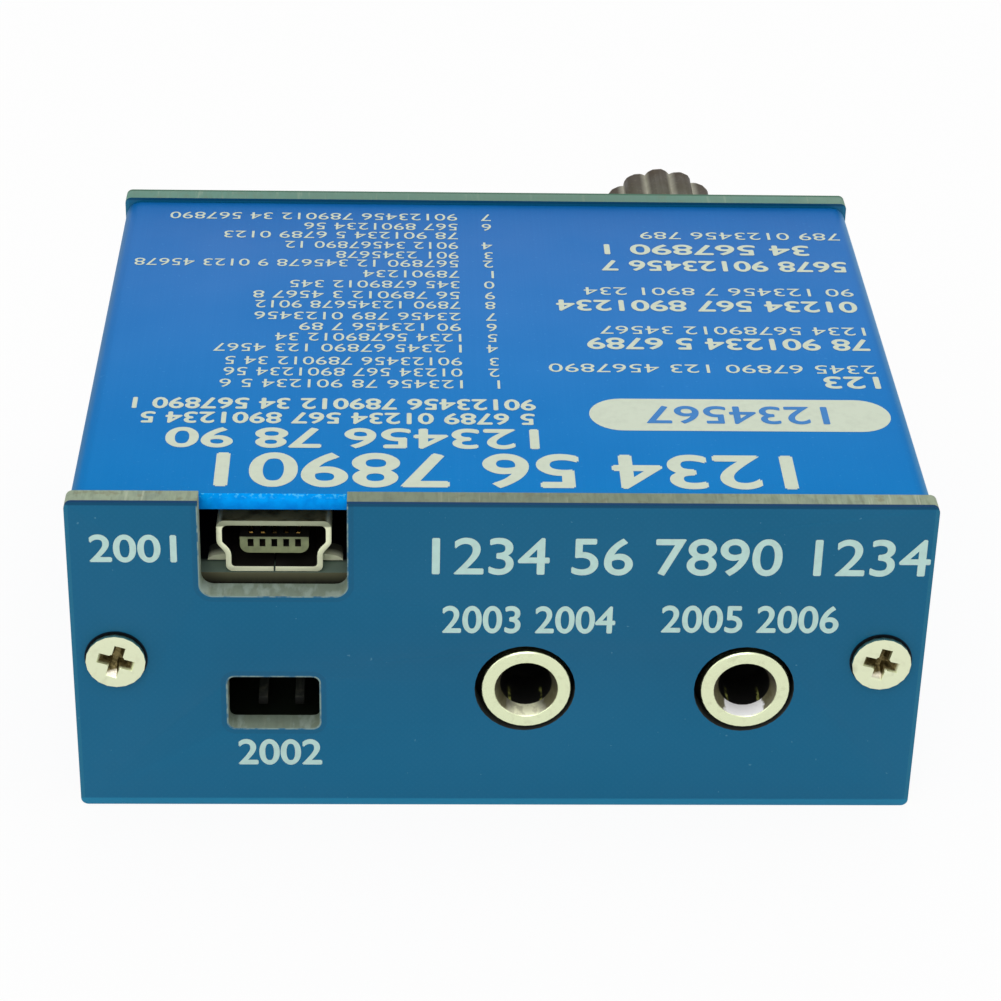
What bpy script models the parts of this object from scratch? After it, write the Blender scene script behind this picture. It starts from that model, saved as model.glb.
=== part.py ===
"""Morse code keyer: two-part extruded case, two panels, boards, sockets, switches and speed control."""
import math

import bmesh
import bpy
from mathutils import Matrix, Vector

mm = 0.001

# Clearances and cuts
seat_gap = 0.3 * mm
panel_gap = 0.2 * mm
solder_gap = 0.1 * mm
cut_overrun = 1.0 * mm
weld_distance = 0.0001 * mm

# Panels, and the room left inside the case beside, behind and above what it holds
panel_thickness = 1.6 * mm
strip_side_gap = 0.31 * mm
controller_jack_gap = 3.2 * mm
jack_gap = 5.07 * mm
jack_side_gap = 2.61 * mm
controller_back_gap = 2.4 * mm
usb_top_gap = 1.46 * mm
panel_corner_radius = 0.5 * mm

# Extruded half shells: wall, corners, seam tongue, screw channel open on its inner side, board ribs
shell_side_inset = 0.1 * mm
shell_top_inset = 0.3 * mm
shell_wall = 1.25 * mm
shell_corner_radius = 1.2 * mm
shell_inner_fillet = 0.4 * mm
tongue_height = 0.8 * mm
tongue_width = 0.55 * mm
channel_gap = 0.25 * mm
channel_wall = 0.7 * mm
channel_opening = 45
rib_thickness = 0.8 * mm
rib_reach = 1.2 * mm
rib_floor_gap = 0.45 * mm

# Countersunk panel screws
screw_inset = 2.95 * mm
screw_head_radius = 2.02 * mm
screw_rim = 0.35 * mm
screw_seat_gap = 0.03 * mm
screw_shank_radius = 1.2 * mm
screw_length = 7.0 * mm
screw_point_length = 0.8 * mm
screw_hole_gap = 0.3 * mm
sink_gap = 0.08 * mm
sink_point_angle = 118
recess_length = 2.5 * mm
recess_width = 0.76 * mm
recess_depth = 1.0 * mm
recess_floor_share = 0.5
recess_middle_radius = 0.66 * mm
recess_middle_floor = 0.25 * mm
recess_turns = (-17, -14, 31, 8)

# Main board in the bottom shell's grooves
board_thickness = 1.6 * mm
board_end_gap = 0.4 * mm

# Controller board with its two pin strips in two socket strips
controller_side_margin = 1.38 * mm
controller_end_margin = 2.55 * mm
controller_corner_radius = 0.6 * mm
controller_front = 2.8 * mm
pin_pitch = 2.54 * mm
pin_row_spacing = 15.24 * mm
pins_per_row = 15
pin_width = 0.64 * mm
socket_strip_floor = 1.9 * mm
strip_width = 2.5 * mm
pin_bar_height = 2.54 * mm
pin_reach_down = 6.0 * mm
pin_reach_up = 0.7 * mm
socket_hole_gap = 0.3 * mm
socket_hole_spare = 0.6 * mm
board_hole_gap = 0.3 * mm
chip_side = 7.0 * mm
chip_height = 1.2 * mm
chip_bevel = 0.2 * mm
chip_from_front = 24.0 * mm
crystal_length = 8.0 * mm
crystal_width = 3.2 * mm
crystal_height = 1.6 * mm
crystal_from_front = 34.5 * mm

# Mini-USB socket on the controller board
usb_length = 9.2 * mm
usb_height = 3.95 * mm
usb_waist_step = 0.6 * mm
usb_foot_gap = 0.95 * mm
usb_waist_low = 1.25 * mm
usb_waist_high = 2.35 * mm
usb_corner_radius = 0.55 * mm
usb_foot_radius = 0.45 * mm
usb_wall = 0.38 * mm
usb_seam = 0.12 * mm
usb_back_block = 2.4 * mm
usb_lining_gap = 0.12 * mm
tongue_setback = 0.4 * mm
tongue_board_margin = 0.725 * mm
tongue_board_height = 1.25 * mm
tongue_board_lift = 1.22 * mm
tongue_board_radius = 0.62 * mm
usb_contact_count = 5
usb_contact_pitch = 0.8 * mm
usb_contact_width = 0.24 * mm
usb_contact_height = 0.16 * mm
usb_contact_slot_gap = 0.08 * mm
usb_contact_slot_depth = 0.75 * mm
usb_contact_lift = 0.42 * mm
usb_contact_setback = 0.95 * mm
usb_contact_back_gap = 0.5 * mm
tongue_bridge_height = 0.16 * mm
tongue_bridge_depth = 0.5 * mm
usb_tab_width = 1.35 * mm
usb_tab_height = 0.5 * mm
usb_tab_length = 1.6 * mm
usb_tab_setback = 1.45 * mm
usb_tab_points = 6

# Notch and slot in the socket panel
notch_shift = 0.05 * mm
notch_side_gap = 1.05 * mm
notch_drop = 0.14 * mm
notch_corner_radius = 0.85 * mm
slot_shift = -0.09 * mm
slot_width = 6.26 * mm
slot_lift = 1.77 * mm
slot_height = 4.2 * mm
slot_corner_radius = 0.5 * mm

# Two-pin right-angle header behind the slot
header_shift = 0.25 * mm
header_pin_lift = 1.5 * mm
header_pin_setback = 3.8 * mm
header_pin_run = 6.0 * mm
header_base_depth = 2.5 * mm
header_base_height = 2.5 * mm
header_pin_tail = 1.3 * mm
header_pin_foot = 0.8 * mm
header_hole_gap = 0.25 * mm

# 3.5 mm jacks
jack_hole_gap = 0.35 * mm
jack_hole_shift_x = -0.1 * mm
jack_hole_shift_z = 0.1 * mm
nose_radius = 3.1 * mm
nose_length = 4.3 * mm
nose_bore_radius = 1.78 * mm
nose_mouth_radius = 2.2 * mm
nose_mouth_depth = 0.9 * mm
nose_edge = 0.12 * mm
jack_body_front = 3.4 * mm
jack_body_side = 1.9 * mm
jack_body_cover = 1.8 * mm
jack_body_depth = 12.0 * mm
jack_body_bevel = 0.4 * mm
jack_bore_radius = 1.9 * mm
jack_bore_end_wall = 0.8 * mm
spring_thickness = 0.25 * mm
spring_height = 1.8 * mm
spring_window_height = 2.6 * mm
spring_window_front = 1.2 * mm
spring_window_back = 1.0 * mm
spring_pocket_depth = 1.3 * mm
spring_bump_setback = 3.2 * mm
spring_bump_half_length = 2.0 * mm
spring_bump_radius = 1.45 * mm

# Potentiometer and knob
pot_side_gap = 3.49 * mm
pot_lift = 2.16 * mm
knob_bush_gap = 0.4 * mm
knob_length = 16.3 * mm
knob_wall = 2.57 * mm
knob_flute_depth = 0.71 * mm
knob_lobes = 14
knob_lobe_turn = -3.4
knob_end_radius = 1.1 * mm
knob_base_chamfer = 0.3 * mm
knob_end_wall = 3.3 * mm
knob_fit_gap = 0.2 * mm
pot_body_side = 0.85 * mm
pot_body_cover = 1.6 * mm
pot_body_back = 2.1 * mm
pot_body_bevel = 0.6 * mm
pot_chamber_gap = 0.4 * mm
pot_chamber_spare = 1.9 * mm
pot_flange_radius = 5.0 * mm
pot_flange_thickness = 0.8 * mm
bush_wall = 0.7 * mm
bush_stand = 0.7 * mm
bush_chamfer = 0.3 * mm
shaft_radius = 2.0 * mm
shaft_flat_depth = 0.45 * mm
rotor_radius = 4.0 * mm
rotor_thickness = 1.2 * mm
rotor_tail = 1.2 * mm
pot_terminal_width = 0.8 * mm
pot_terminal_thickness = 0.4 * mm
pot_terminal_pitch = 2.54 * mm
pot_terminal_setback = 3.2 * mm
pot_terminal_foot = 0.8 * mm
washer_rim = 1.6 * mm
washer_thickness = 0.4 * mm
nut_wall = 1.0 * mm
nut_thickness = 1.5 * mm
nut_chamfer = 0.35 * mm

# Push buttons and their right-angle switches
button_names = ("memory_2", "memory_1", "set")
switch_side_gap = 1.53 * mm
switch_gap = 4.0 * mm
switch_lift = 0.5 * mm
button_radius = 1.75 * mm
button_reach = 2.4 * mm
button_edge = 0.25 * mm
button_flange_rim = 0.45 * mm
button_flange_thickness = 0.7 * mm
switch_side_wall = 0.4 * mm
switch_back_wall = 1.1 * mm
switch_bevel = 0.25 * mm
switch_front_wall = 0.6 * mm
switch_chamber_gap = 0.4 * mm
button_travel_room = 0.9 * mm
switch_foot_width = 0.7 * mm
switch_foot_inset = 0.6 * mm

# Loose parts on the main board, a gap apart behind the jacks
loose_row_gap = 3.0 * mm
loose_side_gap = 1.5 * mm
buzzer_radius = 4.5 * mm
buzzer_height = 5.5 * mm
buzzer_hole_radius = 0.9 * mm
buzzer_hole_depth = 1.2 * mm
buzzer_edge = 0.4 * mm
transistor_radius = 2.3 * mm
transistor_height = 4.6 * mm
transistor_lift = 1.6 * mm
transistor_flat = 1.3 * mm
transistor_leg_width = 0.45 * mm
transistor_leg_pitch = 1.27 * mm
capacitor_radius = 2.5 * mm
capacitor_height = 8.0 * mm
capacitor_groove_height = 1.2 * mm
capacitor_groove_top = 1.8 * mm
capacitor_groove_depth = 0.25 * mm
capacitor_edge = 0.3 * mm
resistor_length = 6.0 * mm
resistor_end_radius = 1.15 * mm
resistor_waist_radius = 0.95 * mm
resistor_end_length = 1.3 * mm
resistor_lead_radius = 0.28 * mm
resistor_lead_reach = 1.2 * mm

# Facets of round pieces
fine_steps = 36
coarse_steps = 20
button_steps = 24
corner_points = 6
edge_points = 3
lobe_points = 6
tube_resolution = 2

# Pieces sized by what goes through or sits in them
screw_hole_radius = screw_shank_radius + screw_hole_gap
sink_radius = screw_head_radius + sink_gap
sink_depth = (sink_radius - screw_hole_radius) / math.tan(math.radians(sink_point_angle / 2))
screw_stand = screw_rim + screw_head_radius - screw_hole_radius - sink_depth + screw_seat_gap
channel_radius = screw_shank_radius + channel_gap
channel_boss_radius = channel_radius + channel_wall
socket_hole_width = pin_width + 2 * socket_hole_gap
socket_hole_depth = pin_reach_down + socket_hole_spare
socket_strip_height = socket_hole_depth + socket_strip_floor
board_hole_radius = pin_width / math.sqrt(2) + board_hole_gap
header_hole_width = pin_width + 2 * header_hole_gap
tongue_board_width = (usb_contact_count - 1) * usb_contact_pitch + 2 * tongue_board_margin
usb_foot_width = tongue_board_width + 2 * usb_foot_gap
usb_top_width = usb_foot_width + 2 * usb_waist_step
notch_width = usb_top_width + 2 * notch_side_gap
jack_hole_radius = nose_radius + jack_hole_gap
jack_body_width = 2 * (nose_radius + jack_body_side)
jack_body_height = 2 * (nose_radius + jack_body_cover)
bush_radius = shaft_radius + seat_gap + bush_wall
bush_reach = washer_thickness + nut_thickness + 2 * solder_gap + bush_stand
washer_radius = bush_radius + washer_rim
nut_across_flats = 2 * (bush_radius + nut_wall)
pot_chamber_radius = rotor_radius + pot_chamber_gap
pot_chamber_depth = seat_gap + rotor_thickness + rotor_tail + pot_chamber_spare
pot_body_width = 2 * (pot_chamber_radius + pot_body_side)
pot_body_height = 2 * (pot_chamber_radius + pot_body_cover)
pot_body_depth = pot_chamber_depth + pot_body_back
knob_valley_radius = shaft_radius + knob_fit_gap + knob_wall
knob_lobe_radius = knob_valley_radius + knob_flute_depth
knob_bore_depth = knob_length - knob_end_wall
knob_reach = bush_reach + knob_bush_gap + knob_length
button_flange_radius = button_radius + button_flange_rim
switch_chamber_radius = button_flange_radius + switch_chamber_gap
switch_chamber_depth = seat_gap + button_flange_thickness + button_travel_room
switch_side = 2 * (switch_chamber_radius + switch_side_wall)
switch_depth = switch_front_wall + switch_chamber_depth + switch_back_wall

# Heights, from the surface that the panels' lower edges stand on
main_board_underside = shell_top_inset + shell_wall + rib_floor_gap + rib_thickness + seat_gap
main_board_top = main_board_underside + board_thickness
strip_top = main_board_top + socket_strip_height
controller_underside = strip_top + pin_bar_height
controller_top = controller_underside + board_thickness
usb_floor = controller_top + solder_gap
panel_height = usb_floor + usb_height + usb_top_gap + shell_wall + shell_top_inset
seam_z = panel_height / 2
shell_height = panel_height / 2 - shell_top_inset
shell_ceiling = shell_height - shell_wall
jack_z = main_board_top + solder_gap + jack_body_height / 2
knob_z = main_board_top + pot_lift + pot_body_height / 2
button_z = main_board_top + switch_lift + switch_side / 2
header_pin_z = main_board_top + header_pin_lift
notch_floor = controller_top - notch_drop
slot_floor = main_board_top + slot_lift

# Widths: screw channel, controller on its strips, two jacks, screw channel
channel_reach = screw_inset + channel_boss_radius * math.cos(math.radians(channel_opening))
controller_width = pin_row_spacing + 2 * controller_side_margin
controller_from_side = channel_reach + strip_side_gap + strip_width / 2 + pin_row_spacing / 2
paddle_jack_from_side = (
    controller_from_side + controller_width / 2 + controller_jack_gap + jack_body_width / 2)
output_jack_from_side = paddle_jack_from_side + jack_body_width + jack_gap
case_width = output_jack_from_side + jack_body_width / 2 + jack_side_gap + channel_reach
side_x = -case_width / 2
controller_x = side_x + controller_from_side
paddle_jack_x = side_x + paddle_jack_from_side
output_jack_x = side_x + output_jack_from_side
notch_x = controller_x + notch_shift
slot_x = controller_x + slot_shift
header_x = controller_x + header_shift
knob_x = -side_x - channel_reach - pot_side_gap - pot_body_width / 2
first_button_x = side_x + channel_reach + switch_side_gap + switch_side / 2
button_spacing = switch_side + switch_gap
shell_half_width = case_width / 2 - shell_side_inset
shell_inner_x = shell_half_width - shell_wall
screw_x = case_width / 2 - screw_inset

# Depths: the controller board sets how long the case is, and the knob stands behind it
strip_length = pins_per_row * pin_pitch
controller_length = strip_length + 2 * controller_end_margin
case_depth = controller_front + controller_length + controller_back_gap + panel_thickness
total_depth = screw_stand + case_depth + knob_reach
front_y = screw_stand - total_depth / 2
back_y = front_y + case_depth
socket_panel_back = front_y + panel_thickness
control_panel_front = back_y - panel_thickness
shell_length = control_panel_front - socket_panel_back - 2 * panel_gap
shell_middle_y = (socket_panel_back + control_panel_front) / 2
controller_front_y = front_y + controller_front
controller_middle_y = controller_front_y + controller_length / 2
jack_back_y = front_y + jack_body_front + jack_body_depth

facing_front = (math.pi / 2, 0, 0)
facing_back = (-math.pi / 2, 0, 0)
side_on = (math.pi / 2, 0, math.pi / 2)
flat_down = (0, 0, 0)


def clear_scene():
    for item in list(bpy.data.objects):
        bpy.data.objects.remove(item, do_unlink=True)


def new_collection(name):
    collection = bpy.data.collections.new(name)
    bpy.context.scene.collection.children.link(collection)
    return collection


def finish(name, colour, roughness, metallic):
    material = bpy.data.materials.new(name)
    material.use_nodes = True
    shader = material.node_tree.nodes["Principled BSDF"]
    shader.inputs["Base Color"].default_value = (*colour, 1)
    shader.inputs["Roughness"].default_value = roughness
    shader.inputs["Metallic"].default_value = metallic
    material.diffuse_color = (*colour, 1)
    return material


clear_scene()
keyer = new_collection("morse_code_keyer")
cutters = new_collection("cutters")

blue_anodised = finish("blue_anodised", (0.02, 0.20, 0.55), 0.45, 0.6)
blue_mask = finish("blue_mask", (0.02, 0.14, 0.26), 0.4, 0.0)
bright_nickel = finish("bright_nickel", (0.78, 0.8, 0.68), 0.3, 1.0)
black_plastic = finish("black_plastic", (0.02, 0.02, 0.02), 0.5, 0.0)
knob_plastic = finish("knob_plastic", (0.06, 0.05, 0.04), 0.45, 0.0)
pale_plastic = finish("pale_plastic", (0.6, 0.62, 0.5), 0.5, 0.0)
gold_plate = finish("gold_plate", (0.8, 0.6, 0.2), 0.3, 1.0)
green_board = finish("green_board", (0.02, 0.12, 0.08), 0.4, 0.0)
resistor_paint = finish("resistor_paint", (0.55, 0.42, 0.28), 0.6, 0.0)


# Shapes

def arc(centre_x, centre_y, radius, first, last, count):
    """Points on a circle from one angle to another, in degrees, both ends included."""
    points = []
    for step in range(count + 1):
        angle = math.radians(first + (last - first) * step / count)
        points.append((centre_x + radius * math.cos(angle), centre_y + radius * math.sin(angle)))
    return points


def rounded_rectangle(low_x, low_y, high_x, high_y, radius):
    points = arc(high_x - radius, high_y - radius, radius, 0, 90, corner_points)
    points += arc(low_x + radius, high_y - radius, radius, 90, 180, corner_points)
    points += arc(low_x + radius, low_y + radius, radius, 180, 270, corner_points)
    points += arc(high_x - radius, low_y + radius, radius, 270, 360, corner_points)
    return points


def circle(centre_x, centre_y, radius, count):
    return arc(centre_x, centre_y, radius, 0, 360, count)[:-1]


def place(mesh, name, material=None, location=(0, 0, 0), rotation=(0, 0, 0)):
    """A mesh as a named object of the keyer, or as a hidden cutter where it has no material."""
    item = bpy.data.objects.new(name, mesh)
    item.location = location
    item.rotation_euler = rotation
    if material is None:
        cutters.objects.link(item)
        item.hide_render = True
        item.display_type = "WIRE"
    else:
        keyer.objects.link(item)
        mesh.materials.append(material)
    return item


def outline_solid(name, outlines, thickness, material=None, location=(0, 0, 0), rotation=(0, 0, 0)):
    """Flat outlines, the later ones as holes, filled and extruded to a thickness about their plane."""
    curve = bpy.data.curves.new(name, "CURVE")
    curve.dimensions = "2D"
    curve.fill_mode = "BOTH"
    curve.extrude = thickness / 2
    for outline in outlines:
        spline = curve.splines.new("POLY")
        spline.points.add(len(outline) - 1)
        for point, (x, y) in zip(spline.points, outline):
            point.co = (x, y, 0, 1)
        spline.use_cyclic_u = True
    return curve_as_mesh(name, curve, material, location, rotation)


def wire(name, route, radius, material=None):
    """A round wire along a route of points, with filled ends."""
    curve = bpy.data.curves.new(name, "CURVE")
    curve.dimensions = "3D"
    curve.bevel_depth = radius
    curve.bevel_resolution = tube_resolution
    curve.use_fill_caps = True
    spline = curve.splines.new("POLY")
    spline.points.add(len(route) - 1)
    for point, co in zip(spline.points, route):
        point.co = (*co, 1)
    return curve_as_mesh(name, curve, material, (0, 0, 0), (0, 0, 0))


def curve_as_mesh(name, curve, material, location, rotation):
    drawn = bpy.data.objects.new(name + "_drawn", curve)
    keyer.objects.link(drawn)
    depsgraph = bpy.context.evaluated_depsgraph_get()
    mesh = bpy.data.meshes.new_from_object(drawn.evaluated_get(depsgraph))
    bpy.data.objects.remove(drawn, do_unlink=True)
    shape = bmesh.new()
    shape.from_mesh(mesh)
    bmesh.ops.remove_doubles(shape, verts=shape.verts, dist=weld_distance)
    bmesh.ops.recalc_face_normals(shape, faces=shape.faces)
    shape.to_mesh(mesh)
    shape.free()
    mesh.name = name
    return place(mesh, name, material, location, rotation)


def box(name, low, high, material=None, bevel=0):
    """A block between two corners, its edges rounded off where a bevel is given."""
    shape = bmesh.new()
    bmesh.ops.create_cube(shape, size=1)
    for vertex in shape.verts:
        for axis in range(3):
            vertex.co[axis] = low[axis] if vertex.co[axis] < 0 else high[axis]
    mesh = bpy.data.meshes.new(name)
    shape.to_mesh(mesh)
    shape.free()
    item = place(mesh, name, material)
    if bevel:
        edge = item.modifiers.new("edge", "BEVEL")
        edge.width = bevel
        edge.segments = 2
    return item


def many_boxes(name, corners, material=None):
    """Several blocks in one mesh, for a row of holes or pins."""
    shape = bmesh.new()
    for low, high in corners:
        middle = (Vector(low) + Vector(high)) / 2
        sides = Vector(high) - Vector(low)
        matrix = Matrix.Translation(middle) @ Matrix.Diagonal((*sides, 1))
        bmesh.ops.create_cube(shape, size=1, matrix=matrix)
    mesh = bpy.data.meshes.new(name)
    shape.to_mesh(mesh)
    shape.free()
    return place(mesh, name, material)


def many_rods(name, centres, radius, low, high, steps):
    """Several upright rods in one mesh, as the cutter for a row of round holes."""
    shape = bmesh.new()
    for x, y in centres:
        bmesh.ops.create_cone(
            shape, cap_ends=True, segments=steps, radius1=radius, radius2=radius, depth=high - low,
            matrix=Matrix.Translation((x, y, (low + high) / 2)))
    mesh = bpy.data.meshes.new(name)
    shape.to_mesh(mesh)
    shape.free()
    return place(mesh, name)


def turned(
        name, profile, material=None, location=(0, 0, 0), rotation=(0, 0, 0), steps=fine_steps, ring=False):
    """A profile of (radius, height) points turned about its own Z, listed down its outer side."""
    mesh = bpy.data.meshes.new(name)
    edges = [(index, index + 1) for index in range(len(profile) - 1)]
    if ring:
        edges.append((len(profile) - 1, 0))
    mesh.from_pydata([(radius, 0, height) for radius, height in profile], edges, [])
    item = place(mesh, name, material, location, rotation)
    screw = item.modifiers.new("turn", "SCREW")
    screw.axis = "Z"
    screw.angle = 2 * math.pi
    screw.steps = steps
    screw.render_steps = steps
    screw.use_merge_vertices = True
    screw.merge_threshold = weld_distance
    screw.use_smooth_shade = True
    return item


def combine(item, other, operation):
    change = item.modifiers.new(other.name, "BOOLEAN")
    change.operation = operation
    change.solver = "EXACT"
    change.object = other


def cut(item, cutter):
    combine(item, cutter, "DIFFERENCE")


def join(item, other):
    combine(item, other, "UNION")


# Case: two equal extruded half shells, one turned over

def board_rib(side, low):
    """The four corners of one rib on the inner wall, in the order that the section runs."""
    wall = side * shell_inner_x
    tip = side * (shell_inner_x - rib_reach)
    return [(wall, low), (tip, low), (tip, low + rib_thickness), (wall, low + rib_thickness)]


def shell_section():
    """The half shell's section, its seam at height zero and its top at shell_height."""
    half_gap = panel_gap / 2
    groove_x = shell_inner_x + tongue_width + panel_gap
    groove_top = tongue_height + panel_gap
    groove_angle = math.degrees(math.asin(groove_top / channel_radius))
    channel_angle = math.degrees(math.asin(half_gap / channel_radius))
    meet_angle = math.degrees(math.acos((shell_inner_x - screw_x) / channel_boss_radius))
    upper_rib = seam_z - main_board_underside + seat_gap
    lower_rib = seam_z - main_board_top - seat_gap - rib_thickness
    corner_x = shell_half_width - shell_corner_radius
    corner_z = shell_height - shell_corner_radius
    fillet_x = shell_inner_x - shell_inner_fillet
    fillet_z = shell_ceiling - shell_inner_fillet

    points = [
        (shell_inner_x, -tongue_height),
        (shell_inner_x + tongue_width, -tongue_height),
        (shell_inner_x + tongue_width, half_gap),
        (shell_half_width, half_gap)]
    points += arc(corner_x, corner_z, shell_corner_radius, 0, 90, corner_points)
    points += arc(-corner_x, corner_z, shell_corner_radius, 90, 180, corner_points)
    points += [(-shell_half_width, half_gap), (-groove_x, half_gap), (-groove_x, groove_top)]
    points += arc(-screw_x, 0, channel_radius, 180 - groove_angle, channel_opening, corner_points)
    points += arc(-screw_x, 0, channel_boss_radius, channel_opening, 180 - meet_angle, corner_points)
    points += board_rib(-1, lower_rib)
    points += board_rib(-1, upper_rib)
    points += arc(-fillet_x, fillet_z, shell_inner_fillet, 180, 90, corner_points)
    points += arc(fillet_x, fillet_z, shell_inner_fillet, 90, 0, corner_points)
    points += reversed(board_rib(1, upper_rib))
    points += reversed(board_rib(1, lower_rib))
    points += arc(screw_x, 0, channel_boss_radius, meet_angle, 180 - channel_opening, corner_points)
    points += arc(screw_x, 0, channel_radius, 180 - channel_opening, channel_angle, corner_points)
    return points


def build_shells():
    section = shell_section()
    turned_over = [(-x, -z) for x, z in section]
    middle = (0, shell_middle_y, seam_z)
    outline_solid("top_shell", [section], shell_length, blue_anodised, middle, facing_front)
    outline_solid("bottom_shell", [turned_over], shell_length, blue_anodised, middle, facing_front)


def sink_holes(panel, name, face_y, rotation):
    """Shallow countersinks, cut with a drill's point, for the two screws in a panel's outer face."""
    profile = [
        (0, cut_overrun),
        (sink_radius, cut_overrun),
        (sink_radius, 0),
        (screw_hole_radius, -sink_depth),
        (screw_hole_radius, -panel_thickness - cut_overrun),
        (0, -panel_thickness - cut_overrun)]
    for side, x in (("left", -screw_x), ("right", screw_x)):
        cutter = turned(name + "_sink_" + side, profile, None, (x, face_y, seam_z), rotation, coarse_steps)
        cut(panel, cutter)


def build_socket_panel():
    half = case_width / 2
    radius = panel_corner_radius
    notch_low = notch_x - notch_width / 2
    notch_high = notch_x + notch_width / 2
    corner = notch_corner_radius
    outline = arc(half - radius, panel_height - radius, radius, 0, 90, corner_points)
    outline += [(notch_high, panel_height)]
    outline += arc(notch_high - corner, notch_floor + corner, corner, 360, 270, corner_points)
    outline += arc(notch_low + corner, notch_floor + corner, corner, 270, 180, corner_points)
    outline += [(notch_low, panel_height)]
    outline += arc(-half + radius, panel_height - radius, radius, 90, 180, corner_points)
    outline += arc(-half + radius, radius, radius, 180, 270, corner_points)
    outline += arc(half - radius, radius, radius, 270, 360, corner_points)
    slot = rounded_rectangle(
        slot_x - slot_width / 2, slot_floor, slot_x + slot_width / 2, slot_floor + slot_height,
        slot_corner_radius)
    holes = [slot]
    for jack_x in (paddle_jack_x, output_jack_x):
        holes.append(circle(
            jack_x + jack_hole_shift_x, jack_z + jack_hole_shift_z, jack_hole_radius, fine_steps))
    middle = (0, front_y + panel_thickness / 2, 0)
    panel = outline_solid(
        "socket_panel", [outline] + holes, panel_thickness, blue_mask, middle, facing_front)
    sink_holes(panel, "socket_panel", front_y, facing_front)


def build_control_panel():
    outline = rounded_rectangle(
        -case_width / 2, 0, case_width / 2, panel_height, panel_corner_radius)
    holes = [circle(knob_x, knob_z, bush_radius + seat_gap, fine_steps)]
    for index in range(len(button_names)):
        x = first_button_x + index * button_spacing
        holes.append(circle(x, button_z, button_radius + seat_gap, fine_steps))
    middle = (0, back_y - panel_thickness / 2, 0)
    panel = outline_solid(
        "control_panel", [outline] + holes, panel_thickness, blue_mask, middle, facing_front)
    sink_holes(panel, "control_panel", back_y, facing_back)


def cross_arm(name, turn, location, rotation):
    """One arm of a cross recess: a four-sided cone, wide at the head's face."""
    shape = bmesh.new()
    depth = recess_depth + cut_overrun
    flare = 1 + (1 - recess_floor_share) * cut_overrun / recess_depth
    bmesh.ops.create_cone(
        shape, cap_ends=True, segments=4, radius1=recess_floor_share, radius2=flare, depth=depth,
        matrix=Matrix.Translation((0, 0, depth / 2 - recess_depth)) @ Matrix.Rotation(math.pi / 4, 4, "Z"))
    reach = Matrix.Diagonal((recess_length / math.sqrt(2), recess_width / math.sqrt(2), 1, 1))
    bmesh.ops.transform(shape, matrix=Matrix.Rotation(turn, 4, "Z") @ reach, verts=shape.verts)
    mesh = bpy.data.meshes.new(name)
    shape.to_mesh(mesh)
    shape.free()
    return place(mesh, name, None, location, rotation)


def cross_middle(name, location, rotation):
    """The coned middle of a cross recess."""
    shape = bmesh.new()
    depth = recess_depth + cut_overrun
    flare = recess_middle_floor + (recess_middle_radius - recess_middle_floor) * depth / recess_depth
    bmesh.ops.create_cone(
        shape, cap_ends=True, segments=corner_points * 2, radius1=recess_middle_floor, radius2=flare,
        depth=depth, matrix=Matrix.Translation((0, 0, depth / 2 - recess_depth)))
    mesh = bpy.data.meshes.new(name)
    shape.to_mesh(mesh)
    shape.free()
    return place(mesh, name, None, location, rotation)


def build_screw(name, x, face_y, inward, rotation, turn):
    """A countersunk screw with a cross recess; the shallow sink leaves its head standing proud."""
    taper_end = screw_rim + screw_head_radius - screw_shank_radius
    profile = [
        (0, 0),
        (screw_head_radius, 0),
        (screw_head_radius, -screw_rim),
        (screw_shank_radius, -taper_end),
        (screw_shank_radius, screw_point_length - screw_length),
        (screw_shank_radius / 2, -screw_length),
        (0, -screw_length)]
    location = (x, face_y - inward * screw_stand, seam_z)
    screw = turned(name, profile, bright_nickel, location, rotation, coarse_steps)
    for index in range(2):
        angle = math.radians(turn + 90 * index)
        cut(screw, cross_arm(name + "_arm_%d" % index, angle, location, rotation))
    cut(screw, cross_middle(name + "_middle", location, rotation))


def build_screws():
    build_screw("socket_panel_screw_left", -screw_x, front_y, 1, facing_front, recess_turns[0])
    build_screw("socket_panel_screw_right", screw_x, front_y, 1, facing_front, recess_turns[1])
    build_screw("control_panel_screw_left", -screw_x, back_y, -1, facing_back, recess_turns[2])
    build_screw("control_panel_screw_right", screw_x, back_y, -1, facing_back, recess_turns[3])


# Boards and the strips between them

def pin_rows():
    """Centre of each pin of the controller board, row by row."""
    rows = []
    first = controller_middle_y - (pins_per_row - 1) * pin_pitch / 2
    for side in (-1, 1):
        x = controller_x + side * pin_row_spacing / 2
        rows.append([(x, first + index * pin_pitch) for index in range(pins_per_row)])
    return rows


def build_main_board():
    low_y = socket_panel_back + board_end_gap
    high_y = control_panel_front - board_end_gap
    half = shell_inner_x - seat_gap
    low = (-half, low_y, main_board_underside)
    high = (half, high_y, main_board_top)
    board = box("main_board", low, high, green_board)
    holes = [(header_x + side * pin_pitch / 2, header_bend_y()) for side in (-1, 1)]
    holes += [(knob_x + step * pot_terminal_pitch, pot_terminal_y()) for step in (-1, 0, 1)]
    cut(board, many_rods(
        "main_board_holes", holes, board_hole_radius, main_board_underside - cut_overrun,
        main_board_top + cut_overrun, corner_points * 2))


def build_controller_board():
    outline = rounded_rectangle(
        controller_x - controller_width / 2, controller_front_y,
        controller_x + controller_width / 2, controller_front_y + controller_length,
        controller_corner_radius)
    holes = [circle(x, y, board_hole_radius, 8) for row in pin_rows() for x, y in row]
    middle = (0, 0, (controller_underside + controller_top) / 2)
    outline_solid("controller_board", [outline] + holes, board_thickness, green_board, middle, flat_down)


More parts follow.
